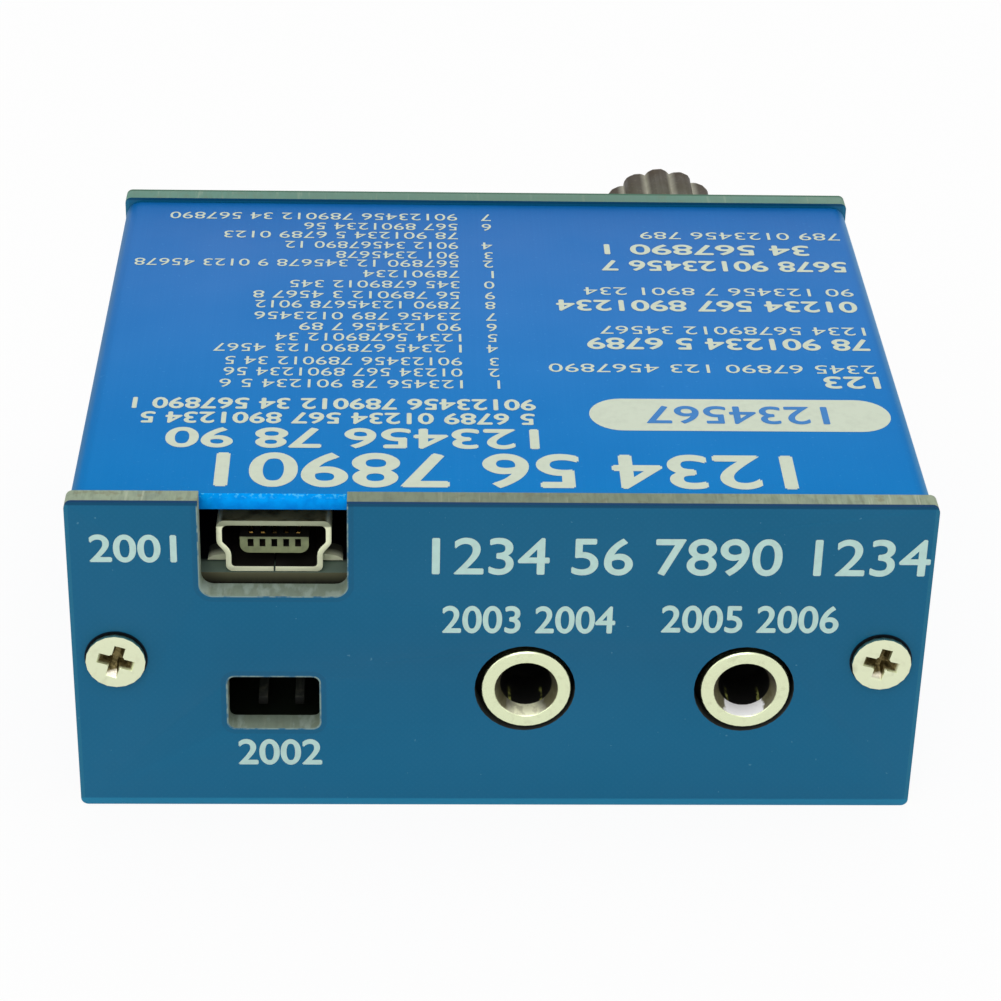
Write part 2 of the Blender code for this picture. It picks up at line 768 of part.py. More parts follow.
def build_strips():
    half_width = strip_width / 2
    half_length = strip_length / 2
    half_hole = socket_hole_width / 2
    half_pin = pin_width / 2
    for name, row in zip(("left", "right"), pin_rows()):
        x = row[0][0]
        low_y = controller_middle_y - half_length
        high_y = controller_middle_y + half_length
        socket = box(
            "socket_strip_" + name, (x - half_width, low_y, main_board_top + solder_gap),
            (x + half_width, high_y, strip_top), black_plastic)
        holes = [(
            (x - half_hole, y - half_hole, strip_top - socket_hole_depth),
            (x + half_hole, y + half_hole, strip_top + cut_overrun)) for x, y in row]
        cut(socket, many_boxes("socket_strip_%s_holes" % name, holes))
        bar = box(
            "pin_strip_" + name, (x - half_width, low_y, strip_top + seat_gap),
            (x + half_width, high_y, controller_underside - seat_gap), black_plastic)
        pins = [(
            (x - half_pin, y - half_pin, strip_top - pin_reach_down),
            (x + half_pin, y + half_pin, controller_top + pin_reach_up)) for x, y in row]
        join(bar, many_boxes("pin_strip_%s_pins" % name, pins))


def build_controller_parts():
    floor = controller_top + solder_gap
    chip_y = controller_front_y + chip_from_front
    half = chip_side / 2
    box(
        "controller_chip", (controller_x - half, chip_y - half, floor),
        (controller_x + half, chip_y + half, floor + chip_height), black_plastic, chip_bevel)
    crystal_y = controller_front_y + crystal_from_front
    outline = rounded_rectangle(
        controller_x - crystal_length / 2, crystal_y - crystal_width / 2,
        controller_x + crystal_length / 2, crystal_y + crystal_width / 2, crystal_width / 2 - solder_gap)
    middle = (0, 0, floor + crystal_height / 2)
    outline_solid("controller_crystal", [outline], crystal_height, bright_nickel, middle, flat_down)


# Mini-USB socket: folded shell with a waist, insulator with its tongue, five contacts

def usb_outline(inset):
    """The shell's outline seen from the front, moved inwards by an inset; its foot at height zero."""
    top = usb_top_width / 2 - inset
    foot = usb_foot_width / 2 - inset
    waist_height = usb_waist_high - usb_waist_low
    steepest = math.atan2(math.pi / 2 * usb_waist_step, waist_height)
    waist_shift = inset * (1 - math.sin(steepest)) / math.cos(steepest)
    radius = usb_corner_radius - inset / 2
    foot_radius = usb_foot_radius - inset / 2
    right = arc(foot - foot_radius, inset + foot_radius, foot_radius, 270, 360, corner_points)
    for step in range(corner_points + 1):
        turn = math.pi * step / corner_points
        z = usb_waist_low + waist_height * step / corner_points + waist_shift * math.sin(turn)
        right.append((foot + (top - foot) * (1 - math.cos(turn)) / 2, z))
    right += arc(top - radius, usb_height - inset - radius, radius, 0, 90, corner_points)
    left = [(-x, z) for x, z in reversed(right)]
    return right + left


def build_usb_shell():
    middle_y = controller_front_y + usb_length / 2
    middle = (controller_x, middle_y, usb_floor)
    outlines = [usb_outline(0), usb_outline(usb_wall)]
    shell = outline_solid("usb_shell", outlines, usb_length, bright_nickel, middle, facing_front)
    seam_end = controller_front_y + usb_length + cut_overrun
    seam = (
        (controller_x - usb_seam / 2, controller_front_y - cut_overrun, usb_floor - cut_overrun),
        (controller_x + usb_seam / 2, seam_end, usb_floor + 2 * usb_wall))
    cut(shell, many_boxes("usb_shell_seam", [seam]))
    tab_y = controller_front_y + usb_tab_setback + usb_tab_length / 2
    foot = usb_foot_width / 2 - usb_wall / 2
    reach = usb_foot_width / 2 + usb_tab_width - foot
    for side in (-1, 1):
        mound = [(side * foot, 0)]
        for step in range(usb_tab_points + 1):
            turn = math.pi / 2 * step / usb_tab_points
            mound.append((side * (foot + reach * math.cos(turn)), usb_tab_height * math.sin(turn)))
        tab_place = (controller_x, tab_y, usb_floor)
        join(shell, outline_solid(
            "usb_shell_tab", [mound[::side]], usb_tab_length, None, tab_place, facing_front))


def usb_contact_places():
    span = (usb_contact_count - 1) * usb_contact_pitch / 2
    return [controller_x - span + index * usb_contact_pitch for index in range(usb_contact_count)]


def build_usb_inside():
    lining = usb_outline(usb_wall + usb_lining_gap)
    back_y = controller_front_y + usb_length - usb_back_block / 2
    insulator = outline_solid(
        "usb_insulator", [lining], usb_back_block, pale_plastic, (controller_x, back_y, usb_floor),
        facing_front)
    half = tongue_board_width / 2
    radius = tongue_board_radius
    top = tongue_board_lift + tongue_board_height
    board = arc(half - radius, tongue_board_lift + radius, radius, 270, 360, corner_points)
    board += [(half, top), (-half, top)]
    board += arc(-half + radius, tongue_board_lift + radius, radius, 180, 270, corner_points)
    board_front = controller_front_y + tongue_setback
    board_back = controller_front_y + usb_length - usb_back_block / 2
    middle = (controller_x, (board_front + board_back) / 2, usb_floor)
    tongue = outline_solid(
        "usb_tongue", [board], board_back - board_front, None, middle, facing_front)
    join(insulator, tongue)
    slot_half = usb_contact_width / 2 + usb_contact_slot_gap
    contact_half = usb_contact_width / 2
    slot_floor_z = usb_floor + top - usb_contact_slot_depth
    contact_low_z = slot_floor_z + usb_contact_lift
    contact_back = board_back - usb_contact_back_gap
    bridge_z = usb_floor + top - tongue_bridge_height
    mouths = []
    slots = []
    for index, x in enumerate(usb_contact_places()):
        mouths.append((
            (x - slot_half, board_front - cut_overrun, slot_floor_z),
            (x + slot_half, board_front + 2 * tongue_bridge_depth, bridge_z)))
        slots.append((
            (x - slot_half, board_front + tongue_bridge_depth, slot_floor_z),
            (x + slot_half, contact_back + usb_contact_slot_gap, usb_floor + top + cut_overrun / 4)))
        box(
            "usb_contact_%d" % (index + 1),
            (x - contact_half, board_front + usb_contact_setback, contact_low_z),
            (x + contact_half, contact_back, contact_low_z + usb_contact_height), gold_plate)
    cut(insulator, many_boxes("usb_contact_mouths", mouths))
    cut(insulator, many_boxes("usb_contact_slots", slots))


# Two-pin right-angle header

def header_bend_y():
    return front_y + header_pin_setback + header_pin_run + header_base_depth + header_pin_tail


def build_program_header():
    base_front = front_y + header_pin_setback + header_pin_run
    base_back = base_front + header_base_depth
    half_pin = pin_width / 2
    low_z = main_board_top + solder_gap
    base = box(
        "program_header_base", (header_x - pin_pitch, base_front, low_z),
        (header_x + pin_pitch, base_back, low_z + header_base_height), black_plastic)
    half_hole = header_hole_width / 2
    holes = []
    foot_z = main_board_underside - header_pin_foot
    bend = header_bend_y()
    tip = front_y + header_pin_setback
    route = [
        (tip, header_pin_z - half_pin), (bend - half_pin, header_pin_z - half_pin),
        (bend - half_pin, foot_z), (bend + half_pin, foot_z),
        (bend + half_pin, header_pin_z + half_pin), (tip, header_pin_z + half_pin)]
    for index, side in enumerate((-1, 1)):
        x = header_x + side * pin_pitch / 2
        holes.append((
            (x - half_hole, base_front - cut_overrun, header_pin_z - half_hole),
            (x + half_hole, base_back + cut_overrun, header_pin_z + half_hole)))
        outline_solid(
            "program_pin_%d" % (index + 1), [route], pin_width, bright_nickel, (x, 0, 0), side_on)
    cut(base, many_boxes("program_header_holes", holes))


# 3.5 mm jacks

def build_nose(name, x):
    """The metal nose: a bush with a coned mouth, its face flush with the panel."""
    profile = [
        (nose_mouth_radius, 0),
        (nose_radius - nose_edge, 0),
        (nose_radius, -nose_edge),
        (nose_radius, -nose_length),
        (nose_bore_radius, -nose_length),
        (nose_bore_radius, -nose_mouth_depth)]
    turned(name, profile, bright_nickel, (x, front_y, jack_z), facing_front, ring=True)


def build_jack_body(name, x):
    """The moulded body: bore, socket for the nose, and a window each side for a contact spring."""
    front = front_y + jack_body_front
    back = front + jack_body_depth
    half_width = jack_body_width / 2
    half_height = jack_body_height / 2
    body = box(
        name, (x - half_width, front, jack_z - half_height), (x + half_width, back, jack_z + half_height),
        black_plastic, jack_body_bevel)
    nose_socket = front_y + nose_length + solder_gap - front
    bore_end = jack_body_depth - jack_bore_end_wall
    profile = [
        (0, cut_overrun),
        (nose_radius + solder_gap, cut_overrun),
        (nose_radius + solder_gap, -nose_socket),
        (jack_bore_radius, -nose_socket),
        (jack_bore_radius, -bore_end),
        (0, -bore_end)]
    bore = turned(name + "_bore", profile, None, (x, front, jack_z), facing_front, coarse_steps)
    cut(body, bore)
    half_window = spring_window_height / 2
    window_front = front_y + nose_length + spring_window_front
    windows = many_boxes(name + "_windows", [(
        (x - half_width - cut_overrun, window_front, jack_z - half_window),
        (x + half_width + cut_overrun, back - spring_window_back, jack_z + half_window))])
    cut(body, windows)


def build_spring(name, x, side):
    """A contact spring: a strip along the window that bends in to the bore and out again."""
    front = front_y + nose_length + spring_window_front + seat_gap
    back = front_y + jack_body_front + jack_body_depth - spring_window_back - seat_gap
    outer = x + side * (jack_body_width / 2 - spring_pocket_depth)
    bump = x + side * spring_bump_radius
    bump_y = front + spring_bump_setback
    thickness = -side * spring_thickness
    near = [
        (outer, back), (outer, bump_y + spring_bump_half_length), (bump, bump_y),
        (bump + side * spring_bump_half_length / 2, front)]
    far = [(px - thickness, py) for px, py in reversed(near)]
    outline_solid(name, [near + far], spring_height, gold_plate, (0, 0, jack_z), flat_down)


def build_jack(name, x):
    build_nose(name + "_nose", x)
    build_jack_body(name + "_body", x)
    build_spring(name + "_tip_spring", x, -1)
    build_spring(name + "_ring_spring", x, 1)


# Speed potentiometer with its knob

def flat_circle(radius, flat_height, count):
    """A circle with one flat on its upper side, as a shaft's section."""
    angle = math.degrees(math.asin(flat_height / radius))
    return arc(0, 0, radius, 180 - angle, 360 + angle, count)


def pot_terminal_y():
    return control_panel_front - seat_gap - pot_flange_thickness - seat_gap - pot_terminal_setback


def build_pot_body():
    front = control_panel_front - seat_gap - pot_flange_thickness - seat_gap
    back = front - pot_body_depth
    half_width = pot_body_width / 2
    half_height = pot_body_height / 2
    body = box(
        "speed_pot_body", (knob_x - half_width, back, knob_z - half_height),
        (knob_x + half_width, front, knob_z + half_height), black_plastic, pot_body_bevel)
    profile = [
        (0, cut_overrun), (pot_chamber_radius, cut_overrun),
        (pot_chamber_radius, -pot_chamber_depth), (0, -pot_chamber_depth)]
    chamber = turned(
        "speed_pot_chamber", profile, None, (knob_x, front, knob_z), facing_back, coarse_steps)
    cut(body, chamber)
    half_leg = pot_terminal_width / 2
    half_sheet = pot_terminal_thickness / 2
    y = pot_terminal_y()
    legs = []
    for step in (-1, 0, 1):
        x = knob_x + step * pot_terminal_pitch
        legs.append((
            (x - half_leg, y - half_sheet, main_board_underside - pot_terminal_foot),
            (x + half_leg, y + half_sheet, knob_z - half_height + pot_body_bevel * 2)))
    join(body, many_boxes("speed_pot_terminals", legs))


def build_pot_bush():
    flange_back = control_panel_front - seat_gap - pot_flange_thickness
    length = back_y + bush_reach - flange_back
    bore = shaft_radius + seat_gap
    profile = [
        (bore, length), (bush_radius - bush_chamfer, length), (bush_radius, length - bush_chamfer),
        (bush_radius, pot_flange_thickness), (pot_flange_radius, pot_flange_thickness),
        (pot_flange_radius, 0), (bore, 0)]
    turned(
        "speed_pot_bush", profile, bright_nickel, (knob_x, flange_back, knob_z), facing_back, ring=True)


def build_washer_and_nut():
    washer_y = back_y + solder_gap
    bore = bush_radius + solder_gap
    profile = [
        (bore, washer_thickness), (washer_radius, washer_thickness), (washer_radius, 0), (bore, 0)]
    turned("speed_pot_washer", profile, bright_nickel, (knob_x, washer_y, knob_z), facing_back, ring=True)
    nut_y = washer_y + washer_thickness + solder_gap
    corner = nut_across_flats / 2 / math.cos(math.pi / 6)
    hexagon = circle(0, 0, corner, 6)
    middle = (knob_x, nut_y + nut_thickness / 2, knob_z)
    nut = outline_solid(
        "speed_pot_nut", [hexagon, circle(0, 0, bore, fine_steps)], nut_thickness, bright_nickel, middle,
        facing_front)
    spare = solder_gap
    dome = [
        (0, nut_thickness + spare), (nut_across_flats / 2 - spare, nut_thickness + spare),
        (corner + spare, nut_thickness - nut_chamfer), (corner + spare, -spare), (0, -spare)]
    combine(nut, turned("speed_pot_nut_dome", dome, None, (knob_x, nut_y, knob_z), facing_back), "INTERSECT")


def build_shaft():
    flange_back = control_panel_front - seat_gap - pot_flange_thickness
    rotor_top = flange_back - seat_gap * 2
    tip = back_y + knob_reach - knob_length + knob_bore_depth - seat_gap
    length = tip - rotor_top
    profile = [
        (0, length), (shaft_radius, length), (shaft_radius, 0), (rotor_radius, 0),
        (rotor_radius, -rotor_thickness), (shaft_radius, -rotor_thickness),
        (shaft_radius, -rotor_thickness - rotor_tail), (0, -rotor_thickness - rotor_tail)]
    shaft = turned("speed_pot_shaft", profile, bright_nickel, (knob_x, rotor_top, knob_z), facing_back)
    flat_z = knob_z + shaft_radius - shaft_flat_depth
    cutter = box(
        "speed_pot_shaft_flat", (knob_x - shaft_radius * 2, tip - knob_bore_depth, flat_z),
        (knob_x + shaft_radius * 2, tip + cut_overrun, flat_z + shaft_radius))
    cut(shaft, cutter)


def knob_outline():
    """Rounded ribs round the knob, one turn of a wave between valley and lobe."""
    points = []
    count = knob_lobes * lobe_points
    swing = knob_lobe_radius - knob_valley_radius
    for step in range(count):
        angle = 2 * math.pi * step / count
        crest = abs(math.cos(knob_lobes * angle / 2))
        radius = knob_valley_radius + swing * crest
        facing = angle + math.pi / 2 - math.radians(knob_lobe_turn)
        points.append((radius * math.cos(facing), radius * math.sin(facing)))
    return points


def build_knob():
    base_y = back_y + knob_reach - knob_length
    middle = (knob_x, base_y + knob_length / 2, knob_z)
    knob = outline_solid(
        "speed_knob", [knob_outline()], knob_length, knob_plastic, middle, facing_front)
    end = knob_end_radius
    spare = solder_gap
    foot = knob_base_chamfer + spare
    dome = [(0, knob_length + spare)]
    dome += arc(knob_lobe_radius - end, knob_length - end, end + spare, 90, 0, edge_points)
    dome += [(knob_lobe_radius + spare, foot), (knob_lobe_radius - foot, -spare), (0, -spare)]
    combine(knob, turned("speed_knob_dome", dome, None, (knob_x, base_y, knob_z), facing_back), "INTERSECT")
    bore = flat_circle(
        shaft_radius + knob_fit_gap, shaft_radius - shaft_flat_depth + knob_fit_gap, coarse_steps)
    bore_middle = (knob_x, base_y + (knob_bore_depth - cut_overrun) / 2, knob_z)
    cutter = outline_solid(
        "speed_knob_bore", [bore], knob_bore_depth + cut_overrun, None, bore_middle, facing_front)
    cut(knob, cutter)


def build_speed_control():
    build_pot_body()
    build_pot_bush()
    build_washer_and_nut()
    build_shaft()
    build_knob()


# Push buttons with their switches

def build_switch(name, x):
    """A right-angle switch: square body with a round chamber for the plunger's flange, and two feet."""
    front = control_panel_front - seat_gap
    back = front - switch_depth
    half = switch_side / 2
    body = box(
        name + "_switch_body", (x - half, back, button_z - half), (x + half, front, button_z + half),
        black_plastic, switch_bevel)
    mouth = button_radius + seat_gap
    chamber_end = switch_front_wall + switch_chamber_depth
    profile = [
        (0, cut_overrun), (mouth, cut_overrun), (mouth, -switch_front_wall),
        (switch_chamber_radius, -switch_front_wall), (switch_chamber_radius, -chamber_end),
        (0, -chamber_end)]
    chamber = turned(
        name + "_switch_chamber", profile, None, (x, front, button_z), facing_back, coarse_steps)
    cut(body, chamber)
    feet = []
    for side in (-1, 1):
        foot_x = x + side * (half - switch_foot_inset)
        feet.append((
            (foot_x - switch_foot_width / 2, back + switch_foot_inset, main_board_top + solder_gap),
            (foot_x + switch_foot_width / 2, front - switch_foot_inset, button_z - half + switch_bevel * 2)))
    join(body, many_boxes(name + "_switch_feet", feet))


def build_button(name, x):
    """The plunger: a flange behind the switch's front wall and a round stem out through the panel."""
    origin_y = control_panel_front - seat_gap - switch_front_wall - seat_gap
    length = back_y + button_reach - origin_y
    edge = button_edge
    profile = [(0, length)]
    profile += arc(button_radius - edge, length - edge, edge, 90, 0, edge_points)
    profile += [
        (button_radius, 0), (button_flange_radius, 0), (button_flange_radius, -button_flange_thickness),
        (0, -button_flange_thickness)]
    turned(name + "_button", profile, black_plastic, (x, origin_y, button_z), facing_back, button_steps)


def build_buttons():
    for index, name in enumerate(button_names):
        x = first_button_x + index * button_spacing
        build_switch(name, x)
        build_button(name, x)


# Loose parts on the main board

def build_buzzer(x, y):
    top = buzzer_height
    profile = [
        (0, top - buzzer_hole_depth), (buzzer_hole_radius, top - buzzer_hole_depth),
        (buzzer_hole_radius, top), (buzzer_radius - buzzer_edge, top), (buzzer_radius, top - buzzer_edge),
        (buzzer_radius, 0), (0, 0)]
    place_at = (x, y, main_board_top + solder_gap)
    turned("sidetone_buzzer", profile, black_plastic, place_at, flat_down, coarse_steps)


def build_transistor(x, y):
    floor = main_board_top + transistor_lift
    outline = flat_circle(transistor_radius, transistor_flat, coarse_steps)
    middle = (x, y, floor + transistor_height / 2)
    body = outline_solid(
        "keying_transistor", [outline], transistor_height, black_plastic, middle, flat_down)
    half = transistor_leg_width / 2
    legs = []
    for step in (-1, 0, 1):
        leg_x = x + step * transistor_leg_pitch
        legs.append((
            (leg_x - half, y - half, main_board_top + solder_gap),
            (leg_x + half, y + half, middle[2])))
    join(body, many_boxes("keying_transistor_legs", legs))


def build_capacitor(x, y):
    waist = capacitor_radius - capacitor_groove_depth
    groove = capacitor_groove_height
    profile = [
        (0, capacitor_height), (capacitor_radius - capacitor_edge, capacitor_height),
        (capacitor_radius, capacitor_height - capacitor_edge), (capacitor_radius, capacitor_groove_top),
        (waist, groove), (capacitor_radius, groove / 2), (capacitor_radius, 0), (0, 0)]
    place_at = (x, y, main_board_top + solder_gap)
    turned("supply_capacitor", profile, blue_anodised, place_at, flat_down, coarse_steps)


def build_resistor(name, x, y):
    """A leaded resistor lying along X: a waisted body on a wire bent down to the board."""
    half = resistor_length / 2
    end = half - resistor_end_length
    z = main_board_top + solder_gap + resistor_end_radius
    profile = [
        (0, half), (resistor_end_radius, half), (resistor_end_radius, end), (resistor_waist_radius, end),
        (resistor_waist_radius, -end), (resistor_end_radius, -end), (resistor_end_radius, -half), (0, -half)]
    body = turned(name, profile, resistor_paint, (x, y, z), (0, math.pi / 2, 0), corner_points * 2)
    reach = half + resistor_lead_reach
    foot = main_board_top + solder_gap
    route = [(x - reach, y, foot), (x - reach, y, z), (x + reach, y, z), (x + reach, y, foot)]
    join(body, wire(name + "_lead", route, resistor_lead_radius))


def build_loose_parts():
    """Behind the jacks: resistor and buzzer on the left, transistor, resistors, capacitor on the right."""
    first_y = jack_back_y + loose_row_gap
    build_resistor("resistor_1", paddle_jack_x, first_y + resistor_end_radius)
    buzzer_y = first_y + 2 * resistor_end_radius + loose_row_gap + buzzer_radius
    build_buzzer(paddle_jack_x, buzzer_y)
    build_transistor(output_jack_x, first_y + transistor_radius)
    resistor_reach = resistor_length / 2 + resistor_lead_reach + resistor_lead_radius
    resistor_x = paddle_jack_x + buzzer_radius + loose_side_gap + resistor_reach
    second_y = first_y + 2 * transistor_radius + loose_row_gap + resistor_end_radius
    third_y = second_y + 2 * resistor_end_radius + loose_side_gap
    build_resistor("resistor_2", resistor_x, second_y)
    build_resistor("resistor_3", resistor_x, third_y)
    capacitor_x = resistor_x + resistor_reach + loose_side_gap + capacitor_radius
    build_capacitor(capacitor_x, (second_y + third_y) / 2)


build_shells()
build_socket_panel()
build_control_panel()
build_screws()
build_main_board()
build_controller_board()
build_strips()
build_controller_parts()
build_usb_shell()
build_usb_inside()
build_program_header()
build_jack("paddle_jack", paddle_jack_x)
build_jack("output_jack", output_jack_x)
build_speed_control()
build_buttons()
build_loose_parts()
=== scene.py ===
"""Morse code keyer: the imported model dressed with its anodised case, panels, prints and metalwork."""

import math

import bmesh
import bpy
from mathutils import Matrix, Vector


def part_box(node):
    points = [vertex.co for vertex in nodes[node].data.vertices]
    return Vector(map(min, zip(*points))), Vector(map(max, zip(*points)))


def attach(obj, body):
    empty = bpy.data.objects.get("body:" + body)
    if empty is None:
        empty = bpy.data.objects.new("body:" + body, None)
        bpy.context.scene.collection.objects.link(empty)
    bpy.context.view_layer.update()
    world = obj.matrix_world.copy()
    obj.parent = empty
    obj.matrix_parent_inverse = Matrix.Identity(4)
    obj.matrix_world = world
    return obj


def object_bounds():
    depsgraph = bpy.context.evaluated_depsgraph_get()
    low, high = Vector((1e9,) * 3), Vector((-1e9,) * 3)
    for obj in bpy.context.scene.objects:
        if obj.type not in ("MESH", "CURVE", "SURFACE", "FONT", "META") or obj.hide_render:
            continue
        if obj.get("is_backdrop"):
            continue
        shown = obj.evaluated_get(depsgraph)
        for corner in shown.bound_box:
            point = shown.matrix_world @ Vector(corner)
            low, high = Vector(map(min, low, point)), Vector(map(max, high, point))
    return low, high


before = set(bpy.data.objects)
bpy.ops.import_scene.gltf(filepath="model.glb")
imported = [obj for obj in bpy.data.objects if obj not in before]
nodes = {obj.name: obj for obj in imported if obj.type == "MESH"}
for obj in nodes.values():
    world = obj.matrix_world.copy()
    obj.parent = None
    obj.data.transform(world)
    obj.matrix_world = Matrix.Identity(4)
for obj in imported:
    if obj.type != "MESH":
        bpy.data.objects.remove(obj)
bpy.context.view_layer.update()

# Camera at the photograph's angle: a long lens, thirty degrees down on the socket panel.
# Its place is measured from the middle of the panel's lower edge.
mm = 0.001
panel_low, panel_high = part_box("socket_panel")
front_y = panel_low.y
photo_width = 1001
sensor_width = 36
clip_start, clip_end = 10 * mm, 10
camera_focal_pixels = 2912.8
camera_yaw = math.radians(2.262)
camera_pitch = math.radians(30.189)
camera_roll = math.radians(-1.451)
camera_place = Vector((-6.8 * mm, -165.9 * mm, 121.3 * mm))


def camera_axes():
    """Right, down and forward of the photograph's camera."""
    forward = Vector((
        math.sin(camera_yaw) * math.cos(camera_pitch), math.cos(camera_yaw) * math.cos(camera_pitch),
        -math.sin(camera_pitch)))
    level = Vector((math.cos(camera_yaw), -math.sin(camera_yaw), 0))
    drop = forward.cross(level)
    right = math.cos(camera_roll) * level + math.sin(camera_roll) * drop
    down = -math.sin(camera_roll) * level + math.cos(camera_roll) * drop
    return right, down, forward


photo_right, photo_down, photo_forward = camera_axes()
camera = bpy.data.objects.new("photo_camera", bpy.data.cameras.new("photo_camera"))
bpy.context.scene.collection.objects.link(camera)
turn = Matrix((photo_right, -photo_down, -photo_forward)).transposed()
camera.matrix_world = Matrix.Translation(camera_place + Vector((0, front_y, 0))) @ turn.to_4x4()
camera.data.sensor_width = sensor_width
camera.data.lens = sensor_width * camera_focal_pixels / photo_width
camera.data.clip_start = clip_start
camera.data.clip_end = clip_end
bpy.context.scene.camera = camera
bpy.context.scene.view_settings.view_transform = "Standard"

# White table and soft studio light: a broad lamp overhead and in front, a weaker one at each side.
# The table shows white to the camera and to metal, and keeps the soft shadow under the object.
table_half = 3.0
table_white = (0.92, 0.92, 0.92, 1)
table_roughness = 0.9
table_white_share = 0.92
room_white = (1, 1, 1, 1)
room_strength = 0.42
lamps = (
    ("front_lamp", (-0.10, -0.55, 0.50), 0.50, 1.75),
    ("top_lamp", (0.05, 0.05, 0.70), 0.70, 1.25),
    ("left_lamp", (-0.60, -0.10, 0.30), 0.40, 0.50),
    ("right_lamp", (0.60, 0.00, 0.35), 0.40, 0.45),
    ("back_lamp", (0.05, 0.60, 0.40), 0.50, 0.65))


def seen_directly(tree):
    """One where the camera, a reflection or a refraction looks at the surface, else nought."""
    path = tree.nodes.new("ShaderNodeLightPath")
    total = tree.nodes.new("ShaderNodeMath")
    total.operation = "MAXIMUM"
    tree.links.new(path.outputs["Is Camera Ray"], total.inputs[0])
    tree.links.new(path.outputs["Is Glossy Ray"], total.inputs[1])
    both = tree.nodes.new("ShaderNodeMath")
    both.operation = "MAXIMUM"
    tree.links.new(total.outputs[0], both.inputs[0])
    tree.links.new(path.outputs["Is Transmission Ray"], both.inputs[1])
    return both.outputs[0]


def make_table():
    """A wide matt sheet that lies under the object and takes no part in it."""
    mesh = bpy.data.meshes.new("table")
    corners = [(-table_half, -table_half, 0), (table_half, -table_half, 0),
               (table_half, table_half, 0), (-table_half, table_half, 0)]
    mesh.from_pydata(corners, [], [(0, 1, 2, 3)])
    table = bpy.data.objects.new("table", mesh)
    bpy.context.scene.collection.objects.link(table)
    material = bpy.data.materials.new("table_white")
    material.use_nodes = True
    tree = material.node_tree
    shader = tree.nodes["Principled BSDF"]
    shader.inputs["Base Color"].default_value = table_white
    shader.inputs["Roughness"].default_value = table_roughness
    glow = tree.nodes.new("ShaderNodeEmission")
    share = tree.nodes.new("ShaderNodeMath")
    share.operation = "MULTIPLY"
    share.inputs[1].default_value = table_white_share
    tree.links.new(seen_directly(tree), share.inputs[0])
    mix = tree.nodes.new("ShaderNodeMixShader")
    tree.links.new(share.outputs[0], mix.inputs[0])
    tree.links.new(shader.outputs[0], mix.inputs[1])
    tree.links.new(glow.outputs[0], mix.inputs[2])
    tree.links.new(mix.outputs[0], tree.nodes["Material Output"].inputs["Surface"])
    mesh.materials.append(material)
    table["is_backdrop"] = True


def make_room():
    """Even light from all round, white where it is looked at, and the lamps, each turned to the object."""
    world = bpy.data.worlds.new("studio")
    world.use_nodes = True
    bpy.context.scene.world = world
    tree = world.node_tree
    light = tree.nodes["Background"]
    light.inputs["Color"].default_value = room_white
    light.inputs["Strength"].default_value = room_strength
    white = tree.nodes.new("ShaderNodeBackground")
    white.inputs["Color"].default_value = room_white
    white.inputs["Strength"].default_value = 1
    mix = tree.nodes.new("ShaderNodeMixShader")
    tree.links.new(seen_directly(tree), mix.inputs[0])
    tree.links.new(light.outputs[0], mix.inputs[1])
    tree.links.new(white.outputs[0], mix.inputs[2])
    tree.links.new(mix.outputs[0], tree.nodes["World Output"].inputs["Surface"])
    for name, place, size, power in lamps:
        lamp = bpy.data.objects.new(name, bpy.data.lights.new(name, "AREA"))
        lamp.data.shape = "SQUARE"
        lamp.data.size = size
        lamp.data.energy = power
        lamp.location = place
        lamp.rotation_mode = "QUATERNION"
        lamp.rotation_quaternion = (-Vector(place)).to_track_quat("-Z", "Y")
        bpy.context.scene.collection.objects.link(lamp)


make_table()
make_room()

# Case: two equal half shells of drawn aluminium, sawn to length and anodised satin blue.
# Fine draw lines run along it; the sawn ends are a brighter blue and keep the saw's marks.
weld_distance = 0.0005 * mm
edge_angle = math.radians(30)
edge_segments = 2
case_edge_bevel = 0.10 * mm
case_shade_low, case_shade_high = 1.1 * mm, 0.5 * mm
case_fleck_low, case_fleck_high = 0.45 * mm, 0.1 * mm
draw_depth, grain_depth, saw_depth = 0.003 * mm, 0.002 * mm, 0.05 * mm
draw_scale, saw_scale, case_fleck_scale = 7000, 1500, 4200
case_cloud_scale, case_grain_scale, case_speck_scale = 120, 9000, 3600


def srgb(red, green, blue):
    """A colour given in 0 to 255, as the linear value that a shader takes."""
    values = []
    for value in (red, green, blue):
        share = value / 255
        values.append(share / 12.92 if share <= 0.04045 else ((share + 0.055) / 1.055) ** 2.4)
    return (*values, 1)


case_blue = srgb(4, 101, 174)
case_end_blue = srgb(0, 164, 255)


